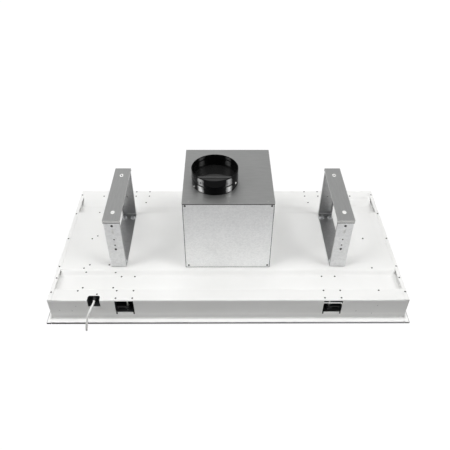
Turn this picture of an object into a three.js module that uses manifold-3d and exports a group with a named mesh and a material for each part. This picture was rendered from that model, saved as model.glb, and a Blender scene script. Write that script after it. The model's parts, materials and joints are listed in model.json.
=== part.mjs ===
// Ceiling range hood, lying on its underside: a white folded casing, a galvanised motor box with a
// duct collar, two height-adjustable ceiling brackets, four swing-out ceiling clamps and, below, a
// hinged suction panel in front of the grease filters.  Millimetres, +Z up, cable outlet at -Y.
import * as THREE from 'three';
import { mergeVertices } from 'three/addons/utils/BufferGeometryUtils.js';
import Module from 'manifold-3d';

const wasm = await Module();
wasm.setup();

// ---------------------------------------------------------------- driving dimensions
const gap = 0.3;                    // between pieces that touch

// casing
const flangeLength = 1200;
const flangeDepth = 620;
const sideOverhang = 15;            // of the flange past the end walls
const frontOverhang = 20;           // of the flange past the long walls
const casingSheet = 1.2;
const casingBend = 2.4;             // inside bend radius
const hemHeight = 8;                // turned-down edge of the flange
const wallHeight = 86;              // flange top to plateau
const lipWidth = 50;                // flat strip along each long wall
const troughWidth = 85;
const troughDrop = 13;
const capFlange = 13;               // top flange of an end cap
const capReturn = 16;               // its flanges behind the long walls
const capBend = 0.6;
const hemAboveFloor = 12;           // the suction frame stands proud by this much

// ceiling clamp windows in the long walls
const windowInner = 309;            // nearer edge from the middle of the hood
const windowWidth = 61;
const windowTopDrop = 4;            // plateau down to the window
const windowHeight = 54.6;
const slitWidth = 4.6;
const slitHeight = 5;

// cable outlet
const outletInset = 148;            // its middle in from the left end wall
const outletWidth = 40;
const outletLipDepth = 21;          // into the top strip
const outletWallDrop = 30;          // down the wall
const outletCorner = 7;
const pocketWall = 2;
const pocketDepth = 29;             // wall's inside to the back of the pocket

// motor box
const boxX = -2;
const boxY = 10;
const boxWidth = 290;
const boxDepth = 302;
const boxHeight = 280;
const boxSheet = 1.2;
const boxFlange = 15;
const panelInset = 3;               // of the service panel from the box sides
const lidOverhang = 1.5;            // of the top plate past the service panel

// duct collar
const collarX = -44.5;
const collarY = -24.5;
const collarDiameter = 150;
const collarWall = 2.4;
const collarSwell = 0.4;            // the base's outside past the ring's
const collarBaseHeight = 25;
const collarRingHeight = 29;
const collarChamfer = 0.7;
const spigotRadius = 69;
const spigotDepth = 12;             // of the collar base into the box
const flapLevel = 14;               // flaps above the box top
const flapThickness = 1.6;
const flapOpening = 4.6;            // spindle's middle to a flap's edge
const spindleRadius = 2;
const knuckleWall = 1.7;
const knuckles = [[-29.5, -0.3], [30, 60]];

// blower
const wheelRadius = 90;
const wheelWidth = 118;
const wheelBlades = 30;
const bladeDepth = 19;
const bladeSheet = 1.4;
const hubRadius = 13;
const scrollSheet = 1.2;
const scrollStart = 100;            // scroll radius at the tongue
const scrollEnd = 139;              // and at the outlet
const scrollWidth = 142;
const scrollOutlet = 144;
const scrollFlange = 9;
const scrollFloor = 6;              // scroll above the motor box's bottom
const inletRadius = 66;
const motorRadius = 52;
const motorCan = 46;
const motorLength = 66;
const shaftRadius = 4;

// ceiling brackets
const bracketX = 375;
const bracketY = 3.5;
const bracketHeight = 210;
const bracketWidth = 55;
const bracketDepth = 289;
const bracketSheet = 1.5;
const bracketBend = 2.5;
const bracketLip = 9;               // end lips of the top plate
const bracketSideLip = 6;
const legFlange = 10;
const innerLegLength = 184;
const legHoleRadius = 2.8;
const legHoleLevels = [84, 102, 127, 162, 186];
const ceilingHoleRadius = 6;
const ceilingHoleSpacing = 204;
const ceilingHoleShift = 3;

// suction frame, panel and filters
const frameMargin = 60;             // flange edge to the frame's foot
const frameFoot = 25;
const frameSheet = 1.2;
const frameHeight = 40;
const frameSeat = 15;
const slotWidth = 22;               // round the suction panel
const panelSheet = 1.2;
const panelRise = 2;                // above the frame's foot
const panelHeight = 12;
const panelReturn = 14;
const filterCount = 3;
const filterEndMargin = 8.8;        // row of filters to the frame's end walls
const filterSideMargin = 13.8;      // and to its long walls
const filterHeight = 9;
const filterSpacing = 10;
const filterRim = 12;
const filterSheet = 0.8;
const pleatPitch = 14;
const pleatHeight = 4.2;
const handleReach = 32;             // middle of a filter's handle to its ends
const handleWire = 5;
const supportRim = 12;
const ledBarWidth = 12;
const ledBarHeight = 10;
const ledBarLength = 360;
const ledBarSheet = 1.2;
const ledBarLevel = 18;
const diffuserHeight = 2.5;
const hingeLevel = 21;              // panel hinge above the floor
const hingeInset = 6;               // its axis in from the panel's back edge
const hingePin = 2;
const hingeKnuckle = 4.5;
const hingeLug = 6;
const hingeEar = 2;
const hingeArmLength = 12;          // from the axis along the panel
const catchWidth = 7;

// ceiling clamps
const clampX = 332;
const clampInset = 18;              // screw axis behind the wall's face
const clampInner = 25;              // housing from the axis towards the middle of the hood
const clampOuter = 42;              // and away from it
const clampDepth = 34;
const clampWall = 2;
const clampScrew = 2.5;
const clampHead = 5.5;
const clampHeadHeight = 3.7;
const clampSleeve = 5;
const clampSleeveFlange = 7;
const clampSleeveHeight = 16.7;
const clampHub = 7.5;
const clampArm = 37;
const clampArmHeight = 13.5;
const clampArmWidth = 14;
const clampClearance = 0.6;         // claw above the window's lower edge

// boxes under the plateau
const terminalSize = [120, 80, 34];
const driverSize = [150, 42, 28];
const electricsInset = 175;         // their middles behind the end walls
const electricsShift = -90;         // and in front of the hood's middle

// mains lead
const cordDiameter = 7;
const cordSides = 8;
const coilTurns = 2.5;
const coilInner = 34.8;             // innermost turn's middle
const coilPitch = 8.5;              // between neighbouring turns, and between layers
const coilX = -520;
const coilY = 359;
const tailBend = 28;
const plugRadius = 18.5;
const plugLength = 34;
const reliefLength = 18;
const outletLevel = 93;             // cord at the outlet

// ---------------------------------------------------------------- derived levels and faces
const flangeTop = hemAboveFloor + hemHeight;
const plateau = flangeTop + wallHeight;
const wallX = flangeLength / 2 - sideOverhang;
const wallY = flangeDepth / 2 - frontOverhang;
const wallInside = wallY - casingSheet;
const outletX = outletInset - wallX;
const underTop = plateau - casingSheet - gap;
const cornerTop = underTop - casingBend;  // under the bends along the long walls
const capTop = plateau + gap + casingSheet;
const coverEnd = wallX - casingSheet - gap;
const boxBottom = plateau + gap;
const boxTop = plateau + boxHeight;
const lidUnder = boxTop - boxSheet;
const wrapTop = lidUnder - gap;
const boxFront = boxY - boxDepth / 2;
const boxBack = boxY + boxDepth / 2;
const wrapFront = boxFront + boxSheet + gap;
const collarRadius = collarDiameter / 2;
const collarBore = collarRadius - collarWall;
const flapHeight = boxTop + flapLevel;
const frameLength = flangeLength - 2 * frameMargin;
const frameDepth = flangeDepth - 2 * frameMargin;
const openingX = frameLength / 2 - frameFoot - frameSheet;
const openingY = frameDepth / 2 - frameFoot - frameSheet;
const panelX = openingX - slotWidth - ledBarWidth;
const panelY = openingY - slotWidth;
const panelTop = panelRise + panelHeight;
const hingeY = panelY - hingeInset;
const filterRow = 2 * (openingX - filterEndMargin);
const filterWidth = (filterRow - (filterCount - 1) * filterSpacing) / filterCount;
const filterDepth = 2 * (openingY - filterSideMargin);
const filterStep = filterWidth + filterSpacing;
const supportLow = frameHeight + gap;
const windowTop = plateau - windowTopDrop;
const windowBottom = windowTop - windowHeight;
const clampY = wallY - clampInset;
const clampLow = windowBottom + clampClearance - 0.3 - clampWall;
const cordRadius = cordDiameter / 2;

// ---------------------------------------------------------------- looks
const look = (color, roughness, metalness) =>
  new THREE.MeshStandardMaterial({ color, roughness, metalness });
const whitePaint = () => look(0xf1f1ee, 0.45, 0.0);
const galvanised = () => look(0xb9bcbd, 0.42, 0.85);
const blackGloss = () => look(0x0c0c0d, 0.18, 0.0);
const flapGrey = () => look(0x3a3b3c, 0.4, 0.0);
const blackPlastic = () => look(0x18191a, 0.55, 0.0);
const darkPlastic = () => look(0x2c2d2f, 0.6, 0.0);
const whiteCable = () => look(0xf2f2f0, 0.5, 0.0);
const zincSteel = () => look(0xc9cac8, 0.35, 0.9);
const aluminium = () => look(0xc4c6c7, 0.4, 0.9);
const opal = () => look(0xf4f4ee, 0.35, 0.0);
const greyPlastic = () => look(0x8b8d8e, 0.6, 0.0);

// ---------------------------------------------------------------- geometry helpers
const hood = new THREE.Group();

function solid(geometry) {
  const bare = geometry.clone();
  bare.deleteAttribute('normal');
  bare.deleteAttribute('uv');
  const merged = mergeVertices(bare, 1e-4);
  const spots = merged.attributes.position.array;
  const raw = merged.index.array;
  const at = (i) => new THREE.Vector3(spots[3 * i], spots[3 * i + 1], spots[3 * i + 2]);
  const corners = [];
  let sixVolumes = 0;
  for (let i = 0; i < raw.length; i += 3) {
    const [a, b, c] = [raw[i], raw[i + 1], raw[i + 2]];
    if (a === b || b === c || a === c) continue;
    corners.push(a, b, c);
    sixVolumes += at(a).dot(at(b).cross(at(c)));
  }
  if (sixVolumes < 0) corners.reverse();
  return new wasm.Manifold(new wasm.Mesh({
    numProp: 3,
    vertProperties: new Float32Array(spots),
    triVerts: new Uint32Array(corners),
  }));
}

function geometryOf(body) {
  const mesh = body.getMesh();
  const geometry = new THREE.BufferGeometry();
  geometry.setAttribute('position', new THREE.BufferAttribute(mesh.vertProperties, 3));
  geometry.setIndex(new THREE.BufferAttribute(mesh.triVerts, 1));
  geometry.computeVertexNormals();
  return geometry;
}

function place(name, body, material, parent = hood) {
  const mesh = new THREE.Mesh(geometryOf(body), material);
  mesh.name = name;
  parent.add(mesh);
}

function groupAt(x, y, z, turn = 0) {
  const group = new THREE.Group();
  group.position.set(x, y, z);
  group.rotation.z = turn;
  hood.add(group);
  return group;
}

const join = (...bodies) => bodies.reduce((sum, body) => sum.add(body));
const cut = (body, ...tools) => tools.reduce((rest, tool) => rest.subtract(tool), body);
const span = (middle, size) => [middle - size / 2, middle + size / 2];
const sided = (side, near, far) => (side > 0 ? [near, far] : [-far, -near]);
const both = (make) => [-1, 1].map(make);

function block([x0, x1], [y0, y1], [z0, z1]) {
  const geometry = new THREE.BoxGeometry(x1 - x0, y1 - y0, z1 - z0);
  return solid(geometry.translate((x0 + x1) / 2, (y0 + y1) / 2, (z0 + z1) / 2));
}

// extrudes a shape along an axis: it is drawn in YZ for x, in XZ for y and in XY for z
const drawingPlanes = {
  x: [[0, 1, 0], [0, 0, 1], [1, 0, 0]],
  y: [[1, 0, 0], [0, 0, 1], [0, -1, 0]],
  z: [[1, 0, 0], [0, 1, 0], [0, 0, 1]],
};

function prism(shape, axis, [from, to], curveSegments = 5) {
  const depth = to - from;
  const geometry = new THREE.ExtrudeGeometry(shape, { depth, bevelEnabled: false, curveSegments });
  const basis = drawingPlanes[axis].map((direction) => new THREE.Vector3(...direction));
  geometry.applyMatrix4(new THREE.Matrix4().makeBasis(...basis));
  const start = basis[2].clone().multiplyScalar(axis === 'y' ? -to : from);
  return solid(geometry.translate(start.x, start.y, start.z));
}

// revolves a closed [radius, height] profile about an axis through a point
function turned(profile, segments, axis = 'z', [x, y, z] = [0, 0, 0]) {
  const points = profile.map(([radius, height]) => new THREE.Vector2(radius, height));
  const geometry = new THREE.LatheGeometry(points, segments);
  if (axis === 'z') geometry.rotateX(Math.PI / 2);
  if (axis === 'x') geometry.rotateZ(-Math.PI / 2);
  return solid(geometry.translate(x, y, z));
}

function rod(radius, [low, high], segments = 16, axis = 'z', centre = [0, 0, 0]) {
  return turned([[0, low], [radius, low], [radius, high], [0, high]], segments, axis, centre);
}

function tube(inner, outer, [low, high], segments = 24, axis = 'z', centre = [0, 0, 0]) {
  const profile = [[inner, low], [outer, low], [outer, high], [inner, high], [inner, low]];
  return turned(profile, segments, axis, centre);
}

function roundedRectangle(width, depth, radius, cx = 0, cy = 0) {
  const [x, y] = [width / 2 - radius, depth / 2 - radius];
  const shape = new THREE.Shape();
  shape.moveTo(cx + x, cy - y - radius);
  shape.absarc(cx + x, cy - y, radius, -Math.PI / 2, 0);
  shape.absarc(cx + x, cy + y, radius, 0, Math.PI / 2);
  shape.absarc(cx - x, cy + y, radius, Math.PI / 2, Math.PI);
  shape.absarc(cx - x, cy - y, radius, Math.PI, Math.PI * 1.5);
  return shape;
}

// upright rectangular ring: its outer size, and how far it reaches inwards
function ring(width, depth, reach, levels, radius = 4) {
  const outer = prism(roundedRectangle(width, depth, radius), 'z', levels, 1);
  const corner = Math.max(radius - reach, 0.8);
  const bore = roundedRectangle(width - 2 * reach, depth - 2 * reach, corner);
  return cut(outer, prism(bore, 'z', [levels[0] - 1, levels[1] + 1], 1));
}

// closed outline of a folded sheet: one face is given, and the thickness lies to its left,
// or to its right where it is negative
function foldedSheet(face, thickness, bend, steps = 2) {
  const points = face.map(([x, y]) => new THREE.Vector2(x, y));
  const headings = points.slice(1).map((point, i) => point.clone().sub(points[i]).normalize());
  const left = headings.map((heading) => new THREE.Vector2(-heading.y, heading.x));
  const last = points.length - 1;
  const other = points.map((point, i) => {
    const before = left[Math.max(i - 1, 0)];
    const after = left[Math.min(i, last - 1)];
    const mitre = before.clone().add(after).divideScalar(1 + before.dot(after));
    return point.clone().addScaledVector(mitre, thickness);
  });
  const rounded = (line, outerOnLeftTurn) => line.flatMap((corner, i) => {
    if (i === 0 || i === last) return [corner];
    const [a, b] = [headings[i - 1], headings[i]];
    const turn = Math.atan2(a.cross(b), a.dot(b));
    if (Math.abs(turn) < 1e-6) return [corner];
    const radius = bend + (outerOnLeftTurn === turn > 0 ? Math.abs(thickness) : 0);
    const start = corner.clone().addScaledVector(a, -radius * Math.tan(Math.abs(turn) / 2));
    const towards = new THREE.Vector2(-a.y, a.x).multiplyScalar(Math.sign(turn));
    const centre = start.clone().addScaledVector(towards, radius);
    return Array.from({ length: steps + 1 }, (_, k) =>
      start.clone().rotateAround(centre, (turn * k) / steps));
  });
  const laidLeft = thickness > 0;
  return new THREE.Shape([...rounded(points, laidLeft), ...rounded(other, !laidLeft).reverse()]);
}

const mirrored = (face) => [...face].reverse().map(([x, y]) => [-x, y]);

// ---------------------------------------------------------------- casing
function windowCutters() {
  const through = 2 * (casingSheet + 4);
  return both((side) => both((face) => {
    const x = side * (windowInner + windowWidth / 2);
    const y = span(face * wallY, through);
    const slits = both((edge) => {
      const slitX = x + edge * (windowWidth - slitWidth) / 2;
      return block(span(slitX, slitWidth), y, [windowBottom - slitHeight, windowBottom + 1]);
    });
    return [block(span(x, windowWidth), y, [windowBottom, windowTop]), ...slits];
  })).flat(2);
}

function outletCutters() {
  const lipShape = roundedRectangle(outletWidth, 2 * outletLipDepth, outletCorner, outletX, -wallY);
  const wallLevels = [plateau - outletWallDrop, plateau - casingSheet];
  return [
    prism(lipShape, 'z', [plateau - casingSheet - 4, plateau + 1], 4),
    block(span(outletX, outletWidth), span(-wallY, 2 * casingSheet + 6), wallLevels),
  ];
}

// half of the folded section, from the front hem to the middle of the plateau
const frontFold = [
  [-flangeDepth / 2, hemAboveFloor],
  [-flangeDepth / 2, flangeTop],
  [-wallY, flangeTop],
  [-wallY, plateau],
  [-wallY + lipWidth, plateau],
  [-wallY + lipWidth, plateau - troughDrop],
  [-wallY + lipWidth + troughWidth, plateau - troughDrop],
  [-wallY + lipWidth + troughWidth, plateau],
];

function mainCover() {
  const section = foldedSheet([...frontFold, ...mirrored(frontFold)], -casingSheet, casingBend);
  const throat = block(span(boxX, boxWidth - 2 * boxFlange), span(boxY, boxDepth - 2 * boxFlange),
    [plateau - 20, plateau + 20]);
  return cut(prism(section, 'x', [-coverEnd, coverEnd]), throat,
    ...windowCutters(), ...outletCutters());
}

function endCap(side) {
  const face = [
    [flangeLength / 2, hemAboveFloor],
    [flangeLength / 2, flangeTop],
    [wallX, flangeTop],
    [wallX, capTop],
    [wallX - capFlange, capTop],
  ].map(([x, z]) => [side * x, z]);
  const fold = prism(foldedSheet(face, side * casingSheet, capBend), 'y', span(0, flangeDepth));
  const aboveFlange = [flangeTop + 0.01, capTop + 1];
  const notches = both((end) => block(
    sided(side, wallX - capFlange - 1, wallX + casingSheet + capBend + 1),
    sided(end, wallY, flangeDepth / 2 + 1), aboveFlange));
  const hiddenFlange = wallInside - gap;
  const returns = both((end) => block(
    sided(side, wallX - capReturn, wallX - casingSheet / 2),
    sided(end, hiddenFlange - casingSheet, hiddenFlange), [flangeTop + casingBend, cornerTop]));
  const hems = both((end) => block(
    sided(side, wallX, flangeLength / 2 - casingSheet / 2),
    sided(end, flangeDepth / 2 - casingSheet, flangeDepth / 2),
    [hemAboveFloor, flangeTop - casingSheet / 2]));
  return join(cut(fold, ...notches), ...returns, ...hems);
}

function cableOutlet() {
  const outer = outletWidth / 2 + pocketWall;
  const front = -wallInside + gap;
  const back = -wallInside + pocketDepth;
  const floor = plateau - outletWallDrop;
  const shell = block(span(outletX, 2 * outer), [front, back], [floor - pocketWall, underTop]);
  const inside = span(outletX, outletWidth);
  const mouth = block(inside, [front - 1, -wallY + outletLipDepth], [floor, underTop + 1]);
  const room = block(inside, [front - 1, back - pocketWall], [floor, underTop - pocketWall]);
  const hole = rod(5, [back - 5, back + 5], 16, 'y', [outletX, 0, outletLevel]);
  const bend = block(span(outletX, 4 * outer), [front - 1, front + casingBend],
    [cornerTop, underTop + 1]);
  return cut(shell, mouth, room, hole, bend);
}

function strainRelief() {
  const back = -wallInside + pocketDepth;
  const face = back - pocketWall;
  const tip = face - gap - reliefLength;
  const profile = [[0, back + 3], [7.5, back + 3], [7.5, back + gap], [4.7, back + gap],
    [4.7, face - gap], [7, face - gap], [6.6, face - 3], [cordRadius + 1, tip], [0, tip]];
  return turned(profile, 20, 'y', [outletX, 0, outletLevel]);
}

// ---------------------------------------------------------------- motor box
function motorBox() {
  const half = boxWidth / 2;
  const wide = (inset) => span(boxX, 2 * (half - inset));
  const deep = [wrapFront + boxSheet, boxBack - boxSheet];
  const high = [boxBottom + boxSheet, wrapTop - boxSheet];
  const opening = span(boxY, boxDepth - 2 * boxFlange);
  return cut(
    block(wide(0), [wrapFront, boxBack], [boxBottom, wrapTop]),
    block(wide(boxSheet), deep, high),
    block(wide(boxFlange), [wrapFront - 1, wrapFront + 3],
      [boxBottom + boxFlange, wrapTop - boxFlange]),
    block(wide(boxFlange), opening, [boxBottom - 1, wrapTop + 1]));
}

function servicePanel() {
  return block(span(boxX, boxWidth - 2 * panelInset), [boxFront, boxFront + boxSheet],
    [boxBottom + 1, wrapTop]);
}

function topPlate() {
  const plate = block(span(boxX, boxWidth), [boxFront - lidOverhang, boxBack], [lidUnder, boxTop]);
  return cut(plate, rod(spigotRadius + gap, [lidUnder - 1, boxTop + 1], 40, 'z',
    [collarX, collarY, 0]));
}

// ---------------------------------------------------------------- duct collar and damper
function collarBase() {
  const outer = collarRadius + collarSwell;
  const ledge = spigotRadius - collarWall;
  const ledgeTop = flapLevel - flapThickness / 2 - gap;
  const profile = [
    [ledge, -spigotDepth], [spigotRadius, -spigotDepth], [spigotRadius, gap], [outer, gap],
    [outer, collarBaseHeight - collarChamfer], [outer - collarChamfer, collarBaseHeight],
    [collarBore, collarBaseHeight], [collarBore, ledgeTop], [ledge, ledgeTop],
    [ledge, -spigotDepth],
  ];
  const bearing = rod(spindleRadius + gap, span(0, 3 * collarDiameter), 12, 'x',
    [collarX, collarY, flapHeight]);
  return cut(turned(profile, 48, 'z', [collarX, collarY, boxTop]), bearing);
}

function collarRing() {
  const low = collarBaseHeight + gap;
  const high = collarBaseHeight + collarRingHeight;
  const profile = [
    [collarBore, low], [collarRadius - collarChamfer, low], [collarRadius, low + collarChamfer],
    [collarRadius, high - 0.5], [collarRadius - 0.5, high], [collarBore + 0.4, high],
    [collarBore, high - 0.4], [collarBore, low],
  ];
  return turned(profile, 48, 'z', [collarX, collarY, boxTop]);
}

function damperSpindle() {
  return rod(spindleRadius, span(0, 2 * collarRadius), 12, 'x', [collarX, collarY, flapHeight]);
}

// half a disc behind the spindle, with the knuckles that turn on it
function damperFlap() {
  const radius = collarBore - 0.7;
  const start = Math.asin(flapOpening / radius);
  const disc = new THREE.Shape();
  disc.absarc(0, 0, radius, start, Math.PI - start);
  const thickness = span(0, flapThickness);
  const bore = rod(spindleRadius + gap, span(0, 2 * radius), 12, 'x');
  const webs = knuckles.map((length) => block(length, [0, flapOpening + 1], thickness));
  const barrels = knuckles.map((length) =>
    rod(spindleRadius + gap + knuckleWall, length, 14, 'x'));
  return cut(join(prism(disc, 'z', thickness, 24), ...webs, ...barrels), bore);
}

// ---------------------------------------------------------------- blower
const scrollLeft = collarX - scrollOutlet / 2;
const scrollRight = collarX + scrollOutlet / 2;
const scrollX = scrollLeft + scrollEnd;
const scrollBack = collarY + scrollWidth / 2;
const scrollFront = collarY - scrollWidth / 2;
const tongueAngle = Math.acos((scrollRight - scrollX) / scrollStart);
const scrollRadius = (angle) =>
  scrollStart + (scrollEnd - scrollStart) * (tongueAngle - angle) / (tongueAngle + Math.PI);
const scrollZ = boxBottom + boxSheet + scrollFloor + scrollRadius(-Math.PI / 2) + scrollSheet;

// spiral from the outlet's outer wall round to the tongue, and up to a level
function scrollOutline(wall, top) {
  const steps = 30;
  const points = [[scrollLeft - wall, top]];
  for (let i = 0; i <= steps; i += 1) {
    const angle = -Math.PI + (tongueAngle + Math.PI) * i / steps;
    const radius = scrollRadius(angle) + wall;
    points.push([scrollX + radius * Math.cos(angle), scrollZ + radius * Math.sin(angle)]);
  }
  points.push([scrollRight + wall, scrollZ + scrollStart + 8], [scrollRight + wall, top]);
  return new THREE.Shape(points.map(([x, z]) => new THREE.Vector2(x, z)));
}

function blowerScroll() {
  const outer = prism(scrollOutline(scrollSheet, wrapTop), 'y', [scrollFront, scrollBack]);
  const room = prism(scrollOutline(0, wrapTop + 5), 'y',
    [scrollFront + scrollSheet, scrollBack - scrollSheet]);
  const flange = block([scrollLeft - scrollFlange, scrollRight + scrollFlange],
    [scrollFront - scrollFlange, scrollBack + scrollFlange], [wrapTop - scrollSheet, wrapTop]);
  const centre = [scrollX, 0, scrollZ];
  const inlet = rod(inletRadius, [scrollFront - 8, scrollFront + 5], 32, 'y', centre);
  const motorHole = rod(hubRadius + 6, [scrollBack - 5, scrollBack + 5], 24, 'y', centre);
  const mouth = [
    [inletRadius - 1, scrollFront + 9], [inletRadius - 1, scrollFront + 3],
    [inletRadius + 3, scrollFront - 2], [inletRadius + 8, scrollFront - 3],
    [inletRadius + 8, scrollFront + 0.6], [inletRadius + 3, scrollFront + 2],
    [inletRadius + 0.4, scrollFront + 5], [inletRadius + 0.4, scrollFront + 9],
    [inletRadius - 1, scrollFront + 9],
  ];
  const shell = cut(join(outer, flange), room, inlet, motorHole);
  return join(shell, turned(mouth, 32, 'y', centre));
}

function blowerWheel() {
  const front = collarY - wheelWidth / 2;
  const back = collarY + wheelWidth / 2;
  const inner = wheelRadius - bladeDepth;
  const disc = rod(wheelRadius, [back - 1.5, back], 60, 'y');
  const hub = rod(hubRadius, [back - 12, back + 4], 20, 'y');
  const rim = tube(inner, wheelRadius, [front, front + 1.5], 60, 'y');
  const lean = bladeDepth * 0.45;
  const middle = inner + bladeDepth * 0.5;
  const blade = new THREE.Shape([
    new THREE.Vector2(inner + 1, 0), new THREE.Vector2(middle, lean * 0.25),
    new THREE.Vector2(wheelRadius - 1, lean), new THREE.Vector2(wheelRadius - 1, lean + bladeSheet),
    new THREE.Vector2(middle, lean * 0.25 + bladeSheet), new THREE.Vector2(inner + 1, bladeSheet),
  ]);
  const blades = Array.from({ length: wheelBlades }, (_, i) => {
    const depth = wheelWidth - 2;
    const geometry = new THREE.ExtrudeGeometry(blade, { depth, bevelEnabled: false });
    geometry.rotateX(Math.PI / 2).translate(0, back - 1, 0);
    return solid(geometry.rotateY((i * 2 * Math.PI) / wheelBlades));
  });
  const bore = rod(shaftRadius + gap, [back - 20, back + 20], 16, 'y');
  return cut(join(disc, hub, rim, ...blades), bore);
}

function motorShaft() {
  const hubEnd = collarY + wheelWidth / 2 - 12;
  return rod(shaftRadius, [hubEnd, scrollBack + 16], 16, 'y');
}

function blowerMotor() {
  const face = scrollBack + gap;
  const end = face + motorLength;
  const profile = [
    [shaftRadius + gap, face], [motorRadius, face], [motorRadius, face + 2.5],
    [motorCan, face + 2.5], [motorCan, end - 8], [motorCan - 3, end - 2.5], [motorCan - 10, end],
    [0, end], [0, face + 18], [shaftRadius + gap, face + 18], [shaftRadius + gap, face],
  ];
  return turned(profile, 32, 'y');
}

// ---------------------------------------------------------------- ceiling brackets
const bracketTop = bracketHeight - gap;
const capUnder = bracketTop - bracketSheet;
const innerTop = capUnder - gap;
const outerLegY = bracketDepth / 2 - bracketSheet - gap;
const innerLegY = outerLegY - bracketSheet - gap;
const outerLegX = bracketWidth / 2 - bracketSheet - gap;
const innerLegX = outerLegX - bracketSheet - gap;

function legHoles(reach, levels) {
  return levels.map((level) => rod(legHoleRadius, span(0, 2 * reach), 8, 'y', [0, 0, level]));
}

function ceilingHoles() {
  return both((end) => rod(ceilingHoleRadius, [innerTop - 6, bracketTop + 1], 16, 'z',
    [0, ceilingHoleShift + end * ceilingHoleSpacing / 2, 0]));
}

// the stiffening flanges of both legs, folded inwards along their edges
function legEdges(halfWidth, halfDepth, levels) {
  return both((side) => both((end) => block(
    sided(side, halfWidth - bracketSheet, halfWidth),
    sided(end, halfDepth - legFlange, halfDepth - bracketSheet / 2), levels))).flat();
}

function bracketBase() {
  const face = [[-outerLegY, innerTop], [-outerLegY, 0], [outerLegY, 0], [outerLegY, innerTop]];
  const fold = prism(foldedSheet(face, bracketSheet, bracketBend), 'x', span(0, 2 * outerLegX));
  const edges = legEdges(outerLegX, outerLegY, [bracketSheet / 2, innerTop]);
  const corners = both((side) => both((end) => block(
    sided(side, outerLegX - 2 * bracketSheet, outerLegX + 1),
    sided(end, outerLegY - 2, outerLegY + 2), [-1, bracketBend + bracketSheet]))).flat();
  return cut(join(fold, ...edges.map((edge) => cut(edge, ...corners))),
    ...legHoles(bracketDepth, legHoleLevels));
}

function bracketSlider() {
  const low = innerTop - innerLegLength;
  const face = [[-innerLegY, low], [-innerLegY, innerTop], [innerLegY, innerTop], [innerLegY, low]];
  const fold = prism(foldedSheet(face, -bracketSheet, bracketBend), 'x', span(0, 2 * innerLegX));
  const edges = legEdges(innerLegX, innerLegY, [low, innerTop - bracketBend - bracketSheet]);
  const gripped = [legHoleLevels[0], legHoleLevels.at(-1)];
  return cut(join(fold, ...edges), ...legHoles(bracketDepth, gripped), ...ceilingHoles());
}

function bracketCap() {
  const plate = block(span(0, bracketWidth), span(0, bracketDepth), [capUnder, bracketTop]);
  const endLips = both((end) => block(span(0, bracketWidth),
    sided(end, bracketDepth / 2 - bracketSheet, bracketDepth / 2),
    [bracketTop - bracketLip, bracketTop]));
  const sideLips = both((side) => block(
    sided(side, bracketWidth / 2 - bracketSheet, bracketWidth / 2), span(0, bracketDepth),
    [bracketTop - bracketSideLip, bracketTop]));
  return cut(join(plate, ...endLips, ...sideLips), ...ceilingHoles());
}

// ---------------------------------------------------------------- suction frame and filters
function suctionFrame() {
  const sheet = frameSheet;
  const slack = 2 * (casingSheet + gap);
  const [plateX, plateY] = [flangeLength - slack, flangeDepth - slack];
  const low = hemAboveFloor;
  const [wallLength, wallDepth] = [2 * (openingX + sheet), 2 * (openingY + sheet)];
  const access = both((side) => both((end) =>
    rod(clampHead + 3, [low - 1, low + 3], 16, 'z', [side * clampX, end * clampY, 0]))).flat();
  const plate = ring(plateX, plateY, (plateX - frameLength) / 2 + sheet / 2, [low, low + sheet]);
  const frame = join(
    ring(plateX - 2 * casingBend, plateY - 2 * casingBend, sheet,
      [low, flangeTop - casingSheet - gap]),
    plate,
    ring(frameLength, frameDepth, sheet, [0, low + sheet]),
    ring(frameLength, frameDepth, frameFoot + sheet, [0, sheet]),
    ring(wallLength, wallDepth, sheet, [0, frameHeight]),
    ring(wallLength + 2 * frameSeat, wallDepth + 2 * frameSeat, frameSeat + sheet / 2,
      [frameHeight - sheet, frameHeight]));
  return cut(frame, ...access);
}

function filterSupport() {
  const length = 2 * (openingX + frameSheet + frameSeat);
  const depth = 2 * (openingY + frameSheet + frameSeat);
  const plate = prism(roundedRectangle(length, depth, 4), 'z', [supportLow, supportLow + frameSheet]);
  const openings = filterPlaces().map((x) => block(span(x, filterWidth - 2 * supportRim),
    span(0, filterDepth - 2 * supportRim), [supportLow - 1, supportLow + 5]));
  return join(cut(plate, ...openings), ring(length, depth, frameSheet, [supportLow, supportLow + 12]));
}

function filterPlaces() {
  return Array.from({ length: filterCount }, (_, i) => (i - (filterCount - 1) / 2) * filterStep);
}

function pleatedMesh(low) {
  const half = filterWidth / 2 - filterSheet / 2;
  const folds = Math.round((4 * half) / pleatPitch);
  const line = (lift) => Array.from({ length: folds + 1 }, (_, i) =>
    new THREE.Vector2(-half + (2 * half * i) / folds, low + lift + (i % 2 ? pleatHeight : 0)));
  return prism(new THREE.Shape([...line(0), ...line(filterSheet).reverse()]), 'y',
    span(0, filterDepth - filterSheet));
}

function greaseFilter() {
  const [low, high] = [frameHeight - filterHeight, frameHeight];
  const rim = (levels) => ring(filterWidth, filterDepth, filterRim, levels);
  const grip = handleReach - handleWire - 1;
  const bow = new THREE.Shape();
  bow.moveTo(-handleReach, low + 0.4);
  bow.absarc(-grip, low - 2, handleWire, Math.PI, Math.PI * 1.5);
  bow.absarc(grip, low - 2, handleWire, Math.PI * 1.5, Math.PI * 2);
  bow.lineTo(handleReach, low + 0.4);
  bow.lineTo(grip, low + 0.4);
  bow.lineTo(grip, low - 3);
  bow.lineTo(-grip, low - 3);
  bow.lineTo(-grip, low + 0.4);
  const handleY = -filterDepth / 2 + filterRim / 2;
  return join(ring(filterWidth, filterDepth, filterSheet, [low, high]),
    rim([low, low + filterSheet]), rim([high - filterSheet, high]),
    pleatedMesh(low + 1.8), prism(bow, 'y', span(handleY, 7), 3));
}

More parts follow.
